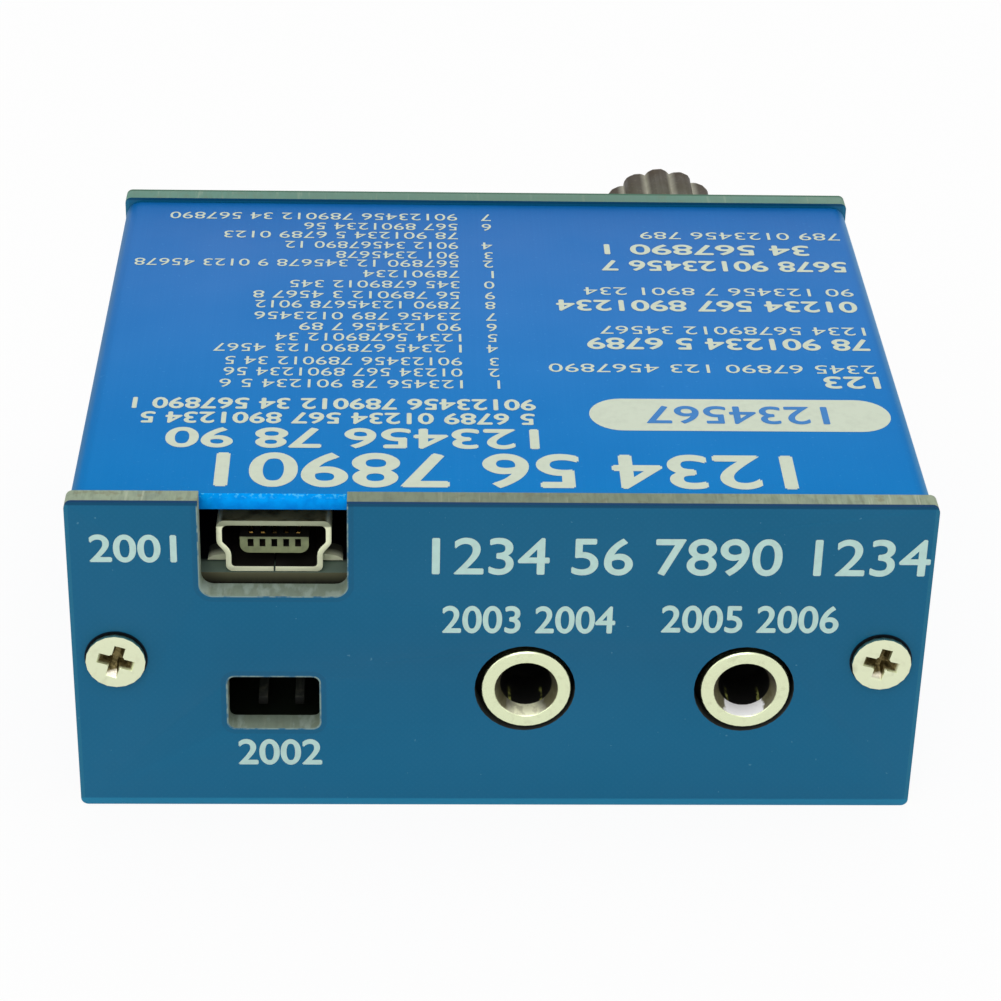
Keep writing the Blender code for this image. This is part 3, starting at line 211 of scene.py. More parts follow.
class Finish:
    """A material under construction: one shader, object coordinates, and what is mixed into them."""

    def __init__(self, name, colour, roughness, metallic=0.0, specular=0.5):
        self.material = bpy.data.materials.new(name)
        self.material.use_nodes = True
        self.tree = self.material.node_tree
        self.shader = self.tree.nodes["Principled BSDF"]
        self.shader.inputs["Base Color"].default_value = colour
        self.shader.inputs["Roughness"].default_value = roughness
        self.shader.inputs["Metallic"].default_value = metallic
        self.shader.inputs["Specular IOR Level"].default_value = specular
        self.coords = self.tree.nodes.new("ShaderNodeTexCoord")
        self.colour = None
        self.start = colour
        self.height = None

    def link(self, source, target):
        """Joins an output to an input."""
        self.tree.links.new(source, target)

    def place(self, scale, stretch=(1, 1, 1), turn=(0, 0, 0)):
        """Object coordinates times a scale per metre, stretched or turned for brushed and drawn marks."""
        mapping = self.tree.nodes.new("ShaderNodeMapping")
        mapping.inputs["Scale"].default_value = [scale * value for value in stretch]
        mapping.inputs["Rotation"].default_value = turn
        self.link(self.coords.outputs["Object"], mapping.inputs["Vector"])
        return mapping.outputs["Vector"]

    def noise(self, scale, stretch=(1, 1, 1), detail=3.0, turn=(0, 0, 0)):
        """Noise from nought to one, with about scale grains to the metre."""
        texture = self.tree.nodes.new("ShaderNodeTexNoise")
        texture.inputs["Scale"].default_value = 1
        texture.inputs["Detail"].default_value = detail
        self.link(self.place(scale, stretch, turn), texture.inputs["Vector"])
        return texture.outputs["Fac"]

    def span(self, value, low, high, first=0.0, last=1.0):
        """value from low to high becomes first to last, held there beyond."""
        node = self.tree.nodes.new("ShaderNodeMapRange")
        node.clamp = True
        for name, number in (("From Min", low), ("From Max", high), ("To Min", first), ("To Max", last)):
            node.inputs[name].default_value = number
        self.link(value, node.inputs["Value"])
        return node.outputs["Result"]

    def calc(self, operation, first, second=0.0):
        """One step of arithmetic on sockets or numbers."""
        node = self.tree.nodes.new("ShaderNodeMath")
        node.operation = operation
        for index, value in enumerate((first, second)):
            if isinstance(value, (int, float)):
                node.inputs[index].default_value = value
            else:
                self.link(value, node.inputs[index])
        return node.outputs[0]

    def part(self, output, axis):
        """One axis of the object coordinates or of the surface normal."""
        split = self.tree.nodes.new("ShaderNodeSeparateXYZ")
        self.link(self.coords.outputs[output], split.inputs["Vector"])
        return split.outputs[axis]

    def ring(self, middle, mirrored=False):
        """Distance from an axis along Y through middle, or also from its mirror image."""
        x = self.part("Object", "X")
        if mirrored:
            x = self.calc("ABSOLUTE", x)
        aside = self.calc("SUBTRACT", x, middle.x)
        level = self.calc("SUBTRACT", self.part("Object", "Z"), middle.z)
        squares = self.calc("ADD", self.calc("MULTIPLY", aside, aside), self.calc("MULTIPLY", level, level))
        return self.calc("SQRT", squares)

    def outward(self, middle):
        """Above nought on a face turned away from an axis along Y through middle, below it in a bore."""
        aside = self.calc("SUBTRACT", self.part("Object", "X"), middle.x)
        level = self.calc("SUBTRACT", self.part("Object", "Z"), middle.z)
        return self.calc("ADD", self.calc("MULTIPLY", aside, self.part("Normal", "X")),
                         self.calc("MULTIPLY", level, self.part("Normal", "Z")))

    def tint(self, share, colour):
        """Mixes a colour in by a share from nought to one."""
        mix = self.tree.nodes.new("ShaderNodeMix")
        mix.data_type = "RGBA"
        self.link(share, mix.inputs["Factor"])
        if self.colour is None:
            mix.inputs["A"].default_value = self.start
        else:
            self.link(self.colour, mix.inputs["A"])
        mix.inputs["B"].default_value = colour
        self.colour = mix.outputs["Result"]
        self.link(self.colour, self.shader.inputs["Base Color"])

    def rough(self, value):
        """Takes the roughness from a socket."""
        self.link(value, self.shader.inputs["Roughness"])

    def bump(self, height, distance, strength=1.0):
        """Raises the surface by up to distance where height is one, on top of earlier bumps."""
        node = self.tree.nodes.new("ShaderNodeBump")
        node.inputs["Distance"].default_value = distance
        node.inputs["Strength"].default_value = strength
        self.link(height, node.inputs["Height"])
        if self.height is not None:
            self.link(self.height, node.inputs["Normal"])
        self.height = node.outputs["Normal"]
        self.link(self.height, self.shader.inputs["Normal"])


def dress(name, finish, bevel=0.0):
    """A CAD node keeps its shape and gets a finish, smooth round faces and, if asked, softened edges."""
    node = nodes[name]
    node.data.materials.clear()
    node.data.materials.append(finish.material)
    for face in node.data.polygons:
        face.material_index = 0
        face.use_smooth = True
    weld = node.modifiers.new("weld", "WELD")
    weld.merge_threshold = weld_distance
    if bevel:
        edge = node.modifiers.new("edge", "BEVEL")
        edge.width = bevel
        edge.segments = edge_segments
        edge.limit_method = "ANGLE"
        edge.angle_limit = edge_angle
    smooth = node.modifiers.new("smooth", "EDGE_SPLIT")
    smooth.split_angle = edge_angle


def make_case_finish(low, high):
    """Blue, paler toward the front, with draw lines, grain, and the saw's marks on the ends; painted
    reflection on the long sides and painted shade low on the ends.
    """
    finish = Finish("blue_anodising", case_blue, roughness=0.48, metallic=0.30, specular=0.14)
    finish.shader.inputs["Specular Tint"].default_value = srgb(110, 190, 240)
    draw = finish.noise(draw_scale, stretch=(1, 0.006, 1), detail=4)
    cloud = finish.noise(case_cloud_scale, detail=4)
    grain = finish.noise(case_grain_scale, detail=2)
    speck = finish.noise(case_speck_scale, detail=1)
    finish.tint(finish.span(finish.part("Object", "Y"), low.y, high.y, 0.85, 0), srgb(0, 118, 184))
    finish.tint(finish.span(cloud, 0.35, 0.7, 0, 0.30), srgb(14, 108, 178))
    finish.tint(finish.span(draw, 0.42, 0.70, 0, 0.08), srgb(40, 126, 194))
    finish.tint(finish.span(grain, 0.50, 0.75, 0, 0.20), srgb(2, 88, 162))
    finish.tint(finish.span(speck, 0.72, 0.76, 0, 0.16), srgb(90, 160, 210))
    # Painted reflection on the rounded long sides: greyer on the side turned left, paler on the side turned
    # right.
    side = finish.part("Normal", "X")
    finish.tint(finish.span(side, -0.80, -0.45, 0.45, 0), srgb(74, 112, 126))
    finish.tint(finish.span(side, 0.35, 0.80, 0, 0.45), srgb(110, 160, 180))
    lengthwise = finish.calc("ABSOLUTE", finish.part("Normal", "Y"))
    end = finish.span(lengthwise, 0.80, 0.95)
    sawn = finish.noise(saw_scale, detail=5)
    finish.tint(end, case_end_blue)
    finish.tint(finish.calc("MULTIPLY", end, finish.span(sawn, 0.42, 0.66, 0, 0.55)), srgb(0, 124, 222))
    level = finish.part("Object", "Z")
    shaded = finish.span(level, high.z - case_shade_low, high.z - case_shade_high, 0.5, 0)
    finish.tint(finish.calc("MULTIPLY", end, shaded), srgb(0, 96, 190))
    # Bright flecks of paler blue along the ends' rounded upper edge.
    upper = finish.span(level, high.z - case_fleck_low, high.z - case_fleck_high, 0, 0.8)
    bright_fleck = finish.calc("MULTIPLY", upper, finish.span(finish.noise(case_fleck_scale, detail=3), 0.54, 0.60))
    finish.tint(finish.calc("MULTIPLY", finish.span(lengthwise, 0.25, 0.5), bright_fleck), srgb(84, 200, 255))
    finish.rough(finish.span(cloud, 0.3, 0.7, 0.42, 0.50))
    finish.bump(draw, draw_depth, strength=0.4)
    finish.bump(grain, grain_depth, strength=0.4)
    finish.bump(finish.calc("MULTIPLY", sawn, end), saw_depth, strength=0.7)
    return finish


case_finish = make_case_finish(*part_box("top_shell"))
for name in ("top_shell", "bottom_shell"):
    dress(name, case_finish, case_edge_bevel)

# Panels: glass-fibre board with blue mask over copper, milled out, so its edges show bare glass and resin.
# Darker lines run under the upper edge and round notch and slot, where the copper stops short of the
# milling;
# the one under the upper edge is partly painted shade. Paler lines run along the lower edge and the sides.
panel_blue = srgb(14, 97, 134)
panel_border = 0.30 * mm
mask_edge = 0.25 * mm
sink_reach = 2.12 * mm
jack_hole_reach = 4.0 * mm
panel_bevel = 0.07 * mm
copper_setback = 0.45 * mm
chipped_lip = 0.10 * mm
weave_pitch, weave_depth = 0.5 * mm, 0.002 * mm
mill_depth = 0.02 * mm
mill_scale, mill_turn = 3400, math.radians(42)
scar_scale, scar_turn = 2600, math.radians(-34)
panel_cloud_scale, panel_dust_scale, lip_chip_scale = 90, 3000, 1600
smear_scale, blotch_scale, stain_scale, pale_scale = 700, 260, 1100, 1300
worn_half, sound_half = 9 * mm, 22 * mm
pale_start, pale_full = 1.0 * mm, 1.5 * mm
notch_middle, notch_half, notch_floor, notch_corner = -15.30 * mm, 4.90 * mm, 17.20 * mm, 0.85 * mm
slot_middle, slot_half, slot_low, slot_high, slot_corner = (
    -15.44 * mm, 3.13 * mm, 6.47 * mm, 10.67 * mm, 0.50 * mm)


def make_panel_finish(name, low, high, milled, face_y, inward, bare, haze, line):
    """Mask on both faces and bare milled edges. face_y is the outer face, inward the way into the case,
    haze how far the edge's marks fade in the bare colour, line the colour of the mask's edge on top, on the
    socket panel partly painted shade."""
    finish = Finish(name, panel_blue, roughness=0.26, specular=0.14)
    x = finish.part("Object", "X")
    z = finish.part("Object", "Z")
    cloud = finish.noise(panel_cloud_scale, detail=3)
    weave_x = finish.calc("SINE", finish.calc("MULTIPLY", x, 2 * math.pi / weave_pitch))
    weave_z = finish.calc("SINE", finish.calc("MULTIPLY", z, 2 * math.pi / weave_pitch))
    weave = finish.calc("MULTIPLY", weave_x, weave_z)
    pale_mottle = finish.noise(panel_dust_scale, detail=1)
    finish.tint(finish.span(z, low.z, (low.z + high.z) / 2, 0.7, 0), srgb(16, 106, 144))
    finish.tint(finish.span(cloud, 0.35, 0.7, 0, 0.35), srgb(30, 104, 142))
    finish.tint(finish.span(weave, 0.2, 1.0, 0, 0.04), srgb(60, 140, 172))
    finish.tint(finish.span(pale_mottle, 0.80, 0.82, 0, 0.25), srgb(120, 180, 195))
    chipped = finish.noise(lip_chip_scale, detail=4)
    for middle, half, floor, top, corner in milled:
        squares = 0.0
        for value, centre, reach in ((x, middle, half), (z, (floor + top) / 2, (top - floor) / 2)):
            away = finish.calc("ABSOLUTE", finish.calc("SUBTRACT", value, centre))
            past = finish.calc("MAXIMUM", finish.calc("SUBTRACT", away, reach - corner), 0.0)
            squares = finish.calc("ADD", finish.calc("MULTIPLY", past, past), squares)
        distance = finish.calc("SUBTRACT", finish.calc("SQRT", squares), corner)
        finish.tint(finish.span(distance, copper_setback, copper_setback * 1.1, 0.3, 0), srgb(22, 78, 112))
        lip = finish.span(distance, chipped_lip, chipped_lip * 1.2, 1, 0)
        finish.tint(finish.calc("MULTIPLY", lip, finish.span(chipped, 0.40, 0.55, 0.15, 0.8)),
                    srgb(142, 164, 152))
    near_side = finish.span(finish.calc("ABSOLUTE", x), high.x - panel_border, high.x - panel_border * 0.9)
    finish.tint(finish.calc("MULTIPLY", near_side, 0.2), srgb(62, 140, 158))
    near_floor = finish.span(z, low.z + panel_border * 1.6, low.z + panel_border * 2, 1, 0)
    finish.tint(finish.calc("MULTIPLY", near_floor, 0.85), srgb(34, 132, 170))
    # Dark line under the upper edge: partly the copper-free border, partly painted shade.
    near_top = finish.span(z, high.z - panel_border * 0.9, high.z - panel_border * 0.6)
    finish.tint(finish.calc("MULTIPLY", near_top, 0.7), srgb(0, 60, 92))
    flat = finish.calc("ABSOLUTE", finish.part("Normal", "Y"))
    edge = finish.span(flat, 0.80, 0.92, 1, 0)
    finish.tint(edge, bare)
    mill = finish.noise(mill_scale, stretch=(1, 0.16, 1), detail=5, turn=(0, 0, mill_turn))
    finish.tint(finish.calc("MULTIPLY", edge, finish.span(mill, 0.46, 0.68, 0, 0.5)), srgb(102, 112, 94))
    smear = finish.noise(smear_scale, detail=5)
    finish.tint(finish.calc("MULTIPLY", edge, finish.span(smear, 0.48, 0.70, 0, 0.5)), srgb(116, 130, 122))
    blotch = finish.noise(blotch_scale, detail=4)
    finish.tint(finish.calc("MULTIPLY", edge, finish.span(blotch, 0.50, 0.72, 0, 0.5)), srgb(160, 170, 146))
    scar = finish.noise(scar_scale, stretch=(1, 0.07, 1), detail=3, turn=(0, 0, scar_turn))
    finish.tint(finish.calc("MULTIPLY", edge, finish.span(scar, 0.60, 0.68, 0, 0.5)), srgb(190, 196, 172))
    stain = finish.noise(stain_scale, detail=4)
    finish.tint(finish.calc("MULTIPLY", edge, finish.span(stain, 0.58, 0.68, 0, 0.45)), srgb(122, 112, 84))
    worn = finish.span(finish.calc("ABSOLUTE", x), worn_half, sound_half, 0.55, 0)
    finish.tint(finish.calc("MULTIPLY", edge, worn), srgb(104, 112, 92))
    lower = finish.calc("MULTIPLY", edge, finish.span(z, high.z - pale_full, high.z - pale_start, 0.6, 0))
    finish.tint(lower, srgb(134, 150, 136))
    pale = finish.noise(pale_scale, stretch=(1, 0.35, 1), detail=5)
    finish.tint(finish.calc("MULTIPLY", lower, finish.span(pale, 0.50, 0.62, 0, 0.9)), srgb(176, 192, 182))
    finish.tint(finish.calc("MULTIPLY", edge, haze), bare)
    # A strip of the top edge next to the face takes the line colour; on the socket panel that is partly
    # painted shade of the corner.
    depth = finish.calc("MULTIPLY", finish.calc("SUBTRACT", finish.part("Object", "Y"), face_y), inward)
    layer = finish.calc("MULTIPLY", edge, finish.span(depth, mask_edge, mask_edge * 1.3, 1, 0))
    above = finish.span(z, high.z - panel_border, high.z - panel_border * 0.8)
    finish.tint(finish.calc("MULTIPLY", layer, above), line)
    # Painted shade: nearly black in and round the countersinks, where the screw heads shade them.
    finish.tint(finish.span(finish.ring(screw_place, True), sink_reach, sink_reach * 1.02, 0.95, 0),
                srgb(16, 20, 30))
    # Painted shade on the bare walls of the jack holes, round the noses.
    for place in jack_places:
        bored = finish.span(finish.ring(place), jack_hole_reach, jack_hole_reach * 1.02, 0.92, 0)
        finish.tint(finish.calc("MULTIPLY", edge, bored), srgb(26, 20, 28))
    finish.rough(finish.span(edge, 0, 1, 0.26, 0.72))
    finish.bump(finish.calc("MULTIPLY", edge, mill), mill_depth, strength=0.6)
    finish.bump(weave, weave_depth, strength=0.2)
    return finish


socket_milled = ((notch_middle, notch_half, notch_floor, 2 * panel_high.z, notch_corner),
                 (slot_middle, slot_half, slot_low, slot_high, slot_corner))


def middle_of(name):
    """The middle of a node's box."""
    low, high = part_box(name)
    return (low + high) / 2


screw_place = middle_of("socket_panel_screw_right")
jack_places = [middle_of("paddle_jack_nose"), middle_of("output_jack_nose")]
dress("socket_panel", make_panel_finish(
    "socket_panel_mask", panel_low, panel_high, socket_milled, panel_low.y, 1,
    bare=srgb(152, 166, 142), haze=0.0, line=srgb(4, 58, 98)), panel_bevel)
back_low, back_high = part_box("control_panel")
dress("control_panel", make_panel_finish(
    "control_panel_mask", back_low, back_high, (), back_high.y, -1,
    bare=srgb(104, 144, 130), haze=0.6, line=srgb(70, 108, 88)), panel_bevel)

# Screws: countersunk, cross-recessed, nickel-plated steel. Their flat, slightly yellow heads stand a little
# proud of the panels; the recess is rougher and bronze-dark, more so deeper in.
screw_bevel = 0.05 * mm
recess_reach = 1.5 * mm
recess_glint = 0.88 * mm
recess_start, recess_full = 0.06 * mm, 0.30 * mm
flank_start = 0.1 * mm
pit_depth, rub_depth = 0.05 * mm, 0.006 * mm
rub_scale, dull_scale, pit_scale = 1800, 700, 3800
screw_nickel = srgb(224, 230, 196)


def make_plate_finish(name, colour, roughness):
    """Plated metal with rub marks and a few dull spots."""
    finish = Finish(name, colour, roughness, metallic=1.0)
    rub = finish.noise(rub_scale, detail=5)
    dull = finish.noise(dull_scale, detail=4)
    finish.tint(finish.span(rub, 0.52, 0.80, 0, 0.22), srgb(170, 168, 138))
    finish.tint(finish.span(dull, 0.62, 0.80, 0, 0.35), srgb(140, 136, 110))
    finish.rough(finish.span(dull, 0.35, 0.75, roughness * 0.85, roughness * 1.4))
    finish.bump(rub, rub_depth, strength=0.3)
    return finish


def make_screw_finish(name, face_y, inward):
    """Plated head with a bronze-dark recess, a painted glint where its lower arm catches the light, and
    painted shade on its flank.
    """
    finish = make_plate_finish(name, screw_nickel, roughness=0.30)
    depth = finish.calc("MULTIPLY", finish.calc("SUBTRACT", finish.part("Object", "Y"), face_y), inward)
    within = finish.span(finish.ring(screw_place, True), recess_reach, recess_reach * 1.05, 1, 0)
    deep = finish.calc("MULTIPLY", within, finish.span(depth, recess_start, recess_full))
    # Painted shade on the head's flank, behind its face.
    shade_behind = finish.calc("MULTIPLY", finish.calc("SUBTRACT", 1.0, within),
                         finish.span(depth, flank_start, recess_full))
    finish.tint(finish.calc("MULTIPLY", shade_behind, 0.6), srgb(96, 98, 82))
    finish.tint(deep, srgb(132, 120, 82))
    pitted = finish.noise(pit_scale, detail=4)
    finish.tint(finish.calc("MULTIPLY", deep, finish.span(pitted, 0.42, 0.62, 0, 0.8)), srgb(68, 60, 36))
    below = finish.calc("SUBTRACT", screw_place.z, finish.part("Object", "Z"))
    glint = finish.span(below, recess_glint, recess_glint * 1.15, 0, 0.9)
    finish.tint(finish.calc("MULTIPLY", deep, glint), srgb(250, 244, 228))
    finish.rough(finish.span(deep, 0, 1, 0.30, 0.5))
    finish.bump(finish.calc("MULTIPLY", deep, pitted), pit_depth, strength=0.8)
    return finish


for panel, inward in (("socket", 1), ("control", -1)):
    low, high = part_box(panel + "_panel_screw_left")
    screw_finish = make_screw_finish(panel + "_screw_nickel", low.y if inward > 0 else high.y, inward)
    for side in ("left", "right"):
        dress(panel + "_panel_screw_" + side, screw_finish, screw_bevel)

# Jacks: a turned brass nose under nickel, with a faced ring and a coned mouth, in a black nylon body.
# Two gilt strip springs stand in the bore.
nose_bevel = 0.04 * mm
nose_cone_depth = 0.88 * mm
cone_start, cone_full = 0.04 * mm, 0.12 * mm
bore_side, bore_side_full = -0.1 * mm, -0.2 * mm
glint_middle, glint_half = 1.08 * mm, 0.12 * mm
paddle_shine, output_shine = 0.12, 1.0
turned_scale, mirror_scale = 1500, 1900
plastic_depth = 0.006 * mm
plastic_grain_scale, plastic_cloud_scale = 9000, 500


def make_nose_finish(name, low, high, shine):
    """Nickel as far as the cone's end; the cone is paler, as painted light, with a painted highlight low
    down and painted shade on its flanks and top. The bore behind it is dark.
    shine is how white the painted highlight on the cone's lower part is."""
    finish = make_plate_finish(name, srgb(222, 230, 192), roughness=0.24)
    middle = (low + high) / 2
    inside = finish.span(finish.outward(middle), bore_side_full, bore_side, 1, 0)
    depth = finish.calc("SUBTRACT", finish.part("Object", "Y"), low.y)
    cone = finish.calc("MULTIPLY", inside, finish.span(depth, cone_start, cone_full))
    turned = finish.noise(turned_scale, detail=5)
    # Painted light: the cone is painted a paler cream than the ring.
    finish.tint(cone, srgb(252, 253, 212))
    finish.tint(finish.calc("MULTIPLY", cone, finish.span(turned, 0.48, 0.58, 0, 0.6)), srgb(176, 172, 134))
    # Painted shade on the cone's flanks.
    flank = finish.span(finish.calc("ABSOLUTE", finish.part("Normal", "X")), 0.30, 0.60, 0, 0.92)
    finish.tint(finish.calc("MULTIPLY", cone, flank), srgb(74, 68, 40))
    # Painted highlight: white on the cone's lower part, as much as shine asks.
    ragged = finish.calc("ADD", finish.part("Normal", "Z"), finish.calc("MULTIPLY", turned, 0.3))
    floor = finish.span(ragged, 0.78, 0.84, 0, shine)
    finish.tint(finish.calc("MULTIPLY", cone, floor), (1, 1, 1, 1))
    # Painted shade on the cone's upper part.
    roof = finish.span(finish.part("Normal", "Z"), -0.4, 0.2, 0.85, 0)
    finish.tint(finish.calc("MULTIPLY", cone, roof), srgb(50, 44, 36))
    lined = finish.calc("MULTIPLY", inside, finish.span(depth, nose_cone_depth, nose_cone_depth * 1.02))
    finish.tint(lined, srgb(9, 9, 8))
    # Painted reflection of the gilt springs: a faint broken streak at each side of the bore's lining.
    aside = finish.calc("ABSOLUTE", finish.calc("SUBTRACT", finish.part("Object", "X"), middle.x))
    off = finish.calc("ABSOLUTE", finish.calc("SUBTRACT", aside, glint_middle))
    streak = finish.calc("MULTIPLY", finish.span(off, glint_half * 0.4, glint_half, 0.6, 0),
                         finish.span(depth, nose_cone_depth * 2, nose_cone_depth * 3, 1, 0))
    broken = finish.span(finish.noise(mirror_scale, detail=4), 0.42, 0.60)
    mirrored = finish.calc("MULTIPLY", finish.calc("MULTIPLY", lined, streak), broken)
    finish.tint(mirrored, srgb(200, 205, 110))
    dulled = finish.calc("SUBTRACT", 1.0, finish.calc("MULTIPLY", cone, 0.65 + 0.35 * shine))
    finish.link(finish.calc("SUBTRACT", dulled, finish.calc("MULTIPLY", lined, 0.35)),
                finish.shader.inputs["Metallic"])
    finish.rough(finish.span(cone, 0, 1, 0.24, 0.45))
    return finish


for name, shine in (("paddle_jack_nose", paddle_shine), ("output_jack_nose", output_shine)):
    dress(name, make_nose_finish(name + "_nickel", *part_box(name), shine), nose_bevel)


def make_plastic_finish(name, colour, worn, roughness):
    """Moulded plastic with a fine tooled grain, a little dulled in places."""
    finish = Finish(name, colour, roughness, specular=0.35)
    grain = finish.noise(plastic_grain_scale, detail=2)
    cloud = finish.noise(plastic_cloud_scale, detail=4)
    finish.tint(finish.span(cloud, 0.4, 0.75, 0, 0.5), worn)
    finish.rough(finish.span(cloud, 0.3, 0.7, roughness * 0.85, roughness * 1.2))
    finish.bump(grain, plastic_depth, strength=0.5)
    return finish


black_finish = make_plastic_finish("black_nylon", srgb(16, 16, 15), srgb(30, 28, 24), roughness=0.55)
gold_finish = make_plate_finish("gold_plate", srgb(206, 164, 84), roughness=0.3)
spring_finish = make_plate_finish("spring_gilding", srgb(200, 190, 96), roughness=0.5)
spring_finish.shader.inputs["Metallic"].default_value = 0.4
for jack in ("paddle_jack", "output_jack"):
    dress(jack + "_body", black_finish)
    dress(jack + "_tip_spring", spring_finish)
    dress(jack + "_ring_spring", spring_finish)

# Mini-USB receptacle: a folded, tin-plated steel shell round a dark moulded insulator, soldered down by
# a mound at each side. The insulator's tongue carries five gilt contacts in grooves; its front face is
# painted pale grey as painted light.
shell_bevel = 0.05 * mm
seam_reach = 0.10 * mm
inner_start, inner_full = -0.05 * mm, -0.2 * mm
outer_start, outer_full = 0.5 * mm, 0.9 * mm
foot_low, foot_high = 0.7 * mm, 1.6 * mm
lip_low, lip_high = 0.5 * mm, 0.4 * mm
mound_side, mound_front, mound_back, mound_height = 3.1 * mm, 1.7 * mm, 2.3 * mm, 0.9 * mm
soft_edge = 0.1 * mm
tongue_front, tongue_back, tongue_shade = 0.05 * mm, 0.25 * mm, 0.9 * mm
roof_blotch_scale, tongue_mottle_scale = 900, 1500
hollow_dark = srgb(22, 20, 17)


def make_shell_finish(low, high):
    """Bright tin on the rim and outside, darker along the rim's top, browner on the roof, and painted shade
    inside, in the seam and on the mounds' rear.
    """
    finish = make_plate_finish("receptacle_tin", srgb(250, 254, 218), roughness=0.38)
    level = finish.part("Object", "Z")
    finish.link(finish.span(level, low.z + foot_low, low.z + foot_high, 0.0, 0.6),
                finish.shader.inputs["Metallic"])
    middle = (low + high) / 2
    facing = finish.outward(middle)
    aside = finish.calc("ABSOLUTE", finish.calc("SUBTRACT", finish.part("Object", "X"), middle.x))
    skirt = finish.span(finish.calc("ABSOLUTE", finish.part("Normal", "Y")), 0.3, 0.5, 1, 0)
    seam = finish.calc("MULTIPLY", finish.span(aside, seam_reach, seam_reach * 1.2, 1, 0),
                       finish.span(level, middle.z - soft_edge, middle.z, 1, 0))
    inward = finish.calc("MAXIMUM", finish.span(facing, inner_full, inner_start, 1, 0), seam)
    mound_top = low.z + mound_height
    mound = finish.calc("MULTIPLY", finish.span(aside, mound_side, mound_side * 1.02),
                        finish.span(level, mound_top, mound_top + soft_edge, 1, 0))
    shade_behind = finish.span(finish.part("Object", "Y"), low.y + mound_front, low.y + mound_back, 0, 0.9)
    # Painted shade: the inside faces and the seam's walls are painted dark, but not the mounds.
    hollow = finish.calc("MULTIPLY", inward, finish.calc("SUBTRACT", 1.0, mound))
    finish.tint(finish.calc("MULTIPLY", skirt, hollow), hollow_dark)
    # Painted shade on the rear of the solder mounds.
    finish.tint(finish.calc("MULTIPLY", mound, shade_behind), hollow_dark)
    # Browner on the roof, in blotches.
    upper = finish.calc("MULTIPLY", skirt, finish.span(finish.part("Normal", "Z"), 0.85, 0.97))
    roof = finish.calc("MULTIPLY", upper, finish.span(facing, outer_start, outer_full))
    finish.tint(finish.calc("MULTIPLY", roof, 0.9), srgb(120, 108, 62))
    stain = finish.span(finish.noise(roof_blotch_scale, detail=4), 0.45, 0.65, 0, 0.8)
    finish.tint(finish.calc("MULTIPLY", roof, stain), srgb(58, 52, 30))
    # Darker along the top bar of the rim's front face.
    lip = finish.span(level, high.z - lip_low, high.z - lip_high)
    finish.tint(finish.calc("MULTIPLY", lip, finish.span(skirt, 0, 0.5, 0.75, 0)), srgb(98, 108, 84))
    return finish


dress("usb_shell", make_shell_finish(*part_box("usb_shell")), shell_bevel)


def make_insulator_finish(low, high):
    """Black moulding whose tongue's front face is painted pale grey as painted light, mottled, and darker
    toward its top as painted shade.
    """
    finish = make_plastic_finish("receptacle_insulator", srgb(13, 13, 12), srgb(24, 22, 18), roughness=0.5)
    # Painted light on the tongue's front face, less of it toward the top as painted shade.
    near = finish.span(finish.part("Object", "Y"), low.y + tongue_front, low.y + tongue_back, 1, 0)
    facing = finish.span(finish.part("Normal", "Y"), -0.8, -0.4, 1, 0)
    worn = finish.noise(tongue_mottle_scale, detail=4)
    middle_z = (low.z + high.z) / 2
    lit = finish.span(finish.part("Object", "Z"), middle_z, middle_z + tongue_shade, 1, 0.45)
    share = finish.calc("MULTIPLY", finish.calc("MULTIPLY", near, facing), lit)
    finish.tint(finish.calc("MULTIPLY", share, finish.span(worn, 0.35, 0.65, 0.70, 1)), srgb(146, 155, 114))
    return finish


dress("usb_insulator", make_insulator_finish(*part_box("usb_insulator")))
# Painted shade: contacts 3 and 4 take a darker copy of the gold.
shaded_gold_finish = make_plate_finish("gold_painted_shade", srgb(92, 70, 34), roughness=0.5)
for index in (1, 2, 5):
    dress("usb_contact_%d" % index, gold_finish)
for index in (3, 4):
    dress("usb_contact_%d" % index, shaded_gold_finish)

# Programming header: two square tinned pins through a moulded black base, soldered upright on the main
# board and bent over to point out of the panel's slot, well behind it.
pin_bevel = 0.04 * mm
# The pins' tin is painted dark grey as painted shade, for they stand deep in the case; their front ends are
# painted darker still as painted shade.
pin_finish = make_plate_finish("pin_tin", srgb(58, 62, 57), roughness=0.5)
pin_finish.shader.inputs["Metallic"].default_value = 0.3
pin_finish.tint(pin_finish.span(pin_finish.part("Normal", "Y"), -0.8, -0.4, 0.85, 0), srgb(24, 26, 23))
dress("program_header_base", black_finish)
for name in ("program_pin_1", "program_pin_2"):
    dress(name, pin_finish, pin_bevel)

# Boards: glass-fibre with mask on both faces, bare at the milled edges, standing in the case's grooves.
# The controller board's mask is black, standing in for the shade deep in the case, with a pale strip of
# painted light along its front edge, which shows under the receptacle.
lit_strip_depth = 1.3 * mm
edge_shade_reach = 0.5 * mm
fibre_depth = 0.008 * mm
board_cloud_scale, fibre_scale = 700, 5000
can_bevel = 0.04 * mm


def make_board_finish(name, mask, edge_colour):
    """Solder mask, a little lighter in places, and fibrous bare edges."""
    finish = Finish(name, mask, roughness=0.35, specular=0.3)
    cloud = finish.noise(board_cloud_scale, detail=4)
    lighter = [value * 1.5 for value in mask[:3]]
    finish.tint(finish.span(cloud, 0.4, 0.7, 0, 0.25), (*lighter, 1))
    flat = finish.calc("ABSOLUTE", finish.part("Normal", "Z"))
    edge = finish.span(flat, 0.5, 0.7, 1, 0)
    finish.tint(edge, edge_colour)
    fibre = finish.noise(fibre_scale, stretch=(1, 1, 0.3), detail=4)
    finish.tint(finish.calc("MULTIPLY", edge, finish.span(fibre, 0.4, 0.7, 0, 0.6)), srgb(56, 58, 42))
    finish.rough(finish.span(edge, 0, 1, 0.35, 0.7))
    finish.bump(fibre, fibre_depth, strength=0.3)
    return finish


dress("main_board", make_board_finish("main_board_mask", srgb(24, 30, 22), srgb(110, 114, 88)))


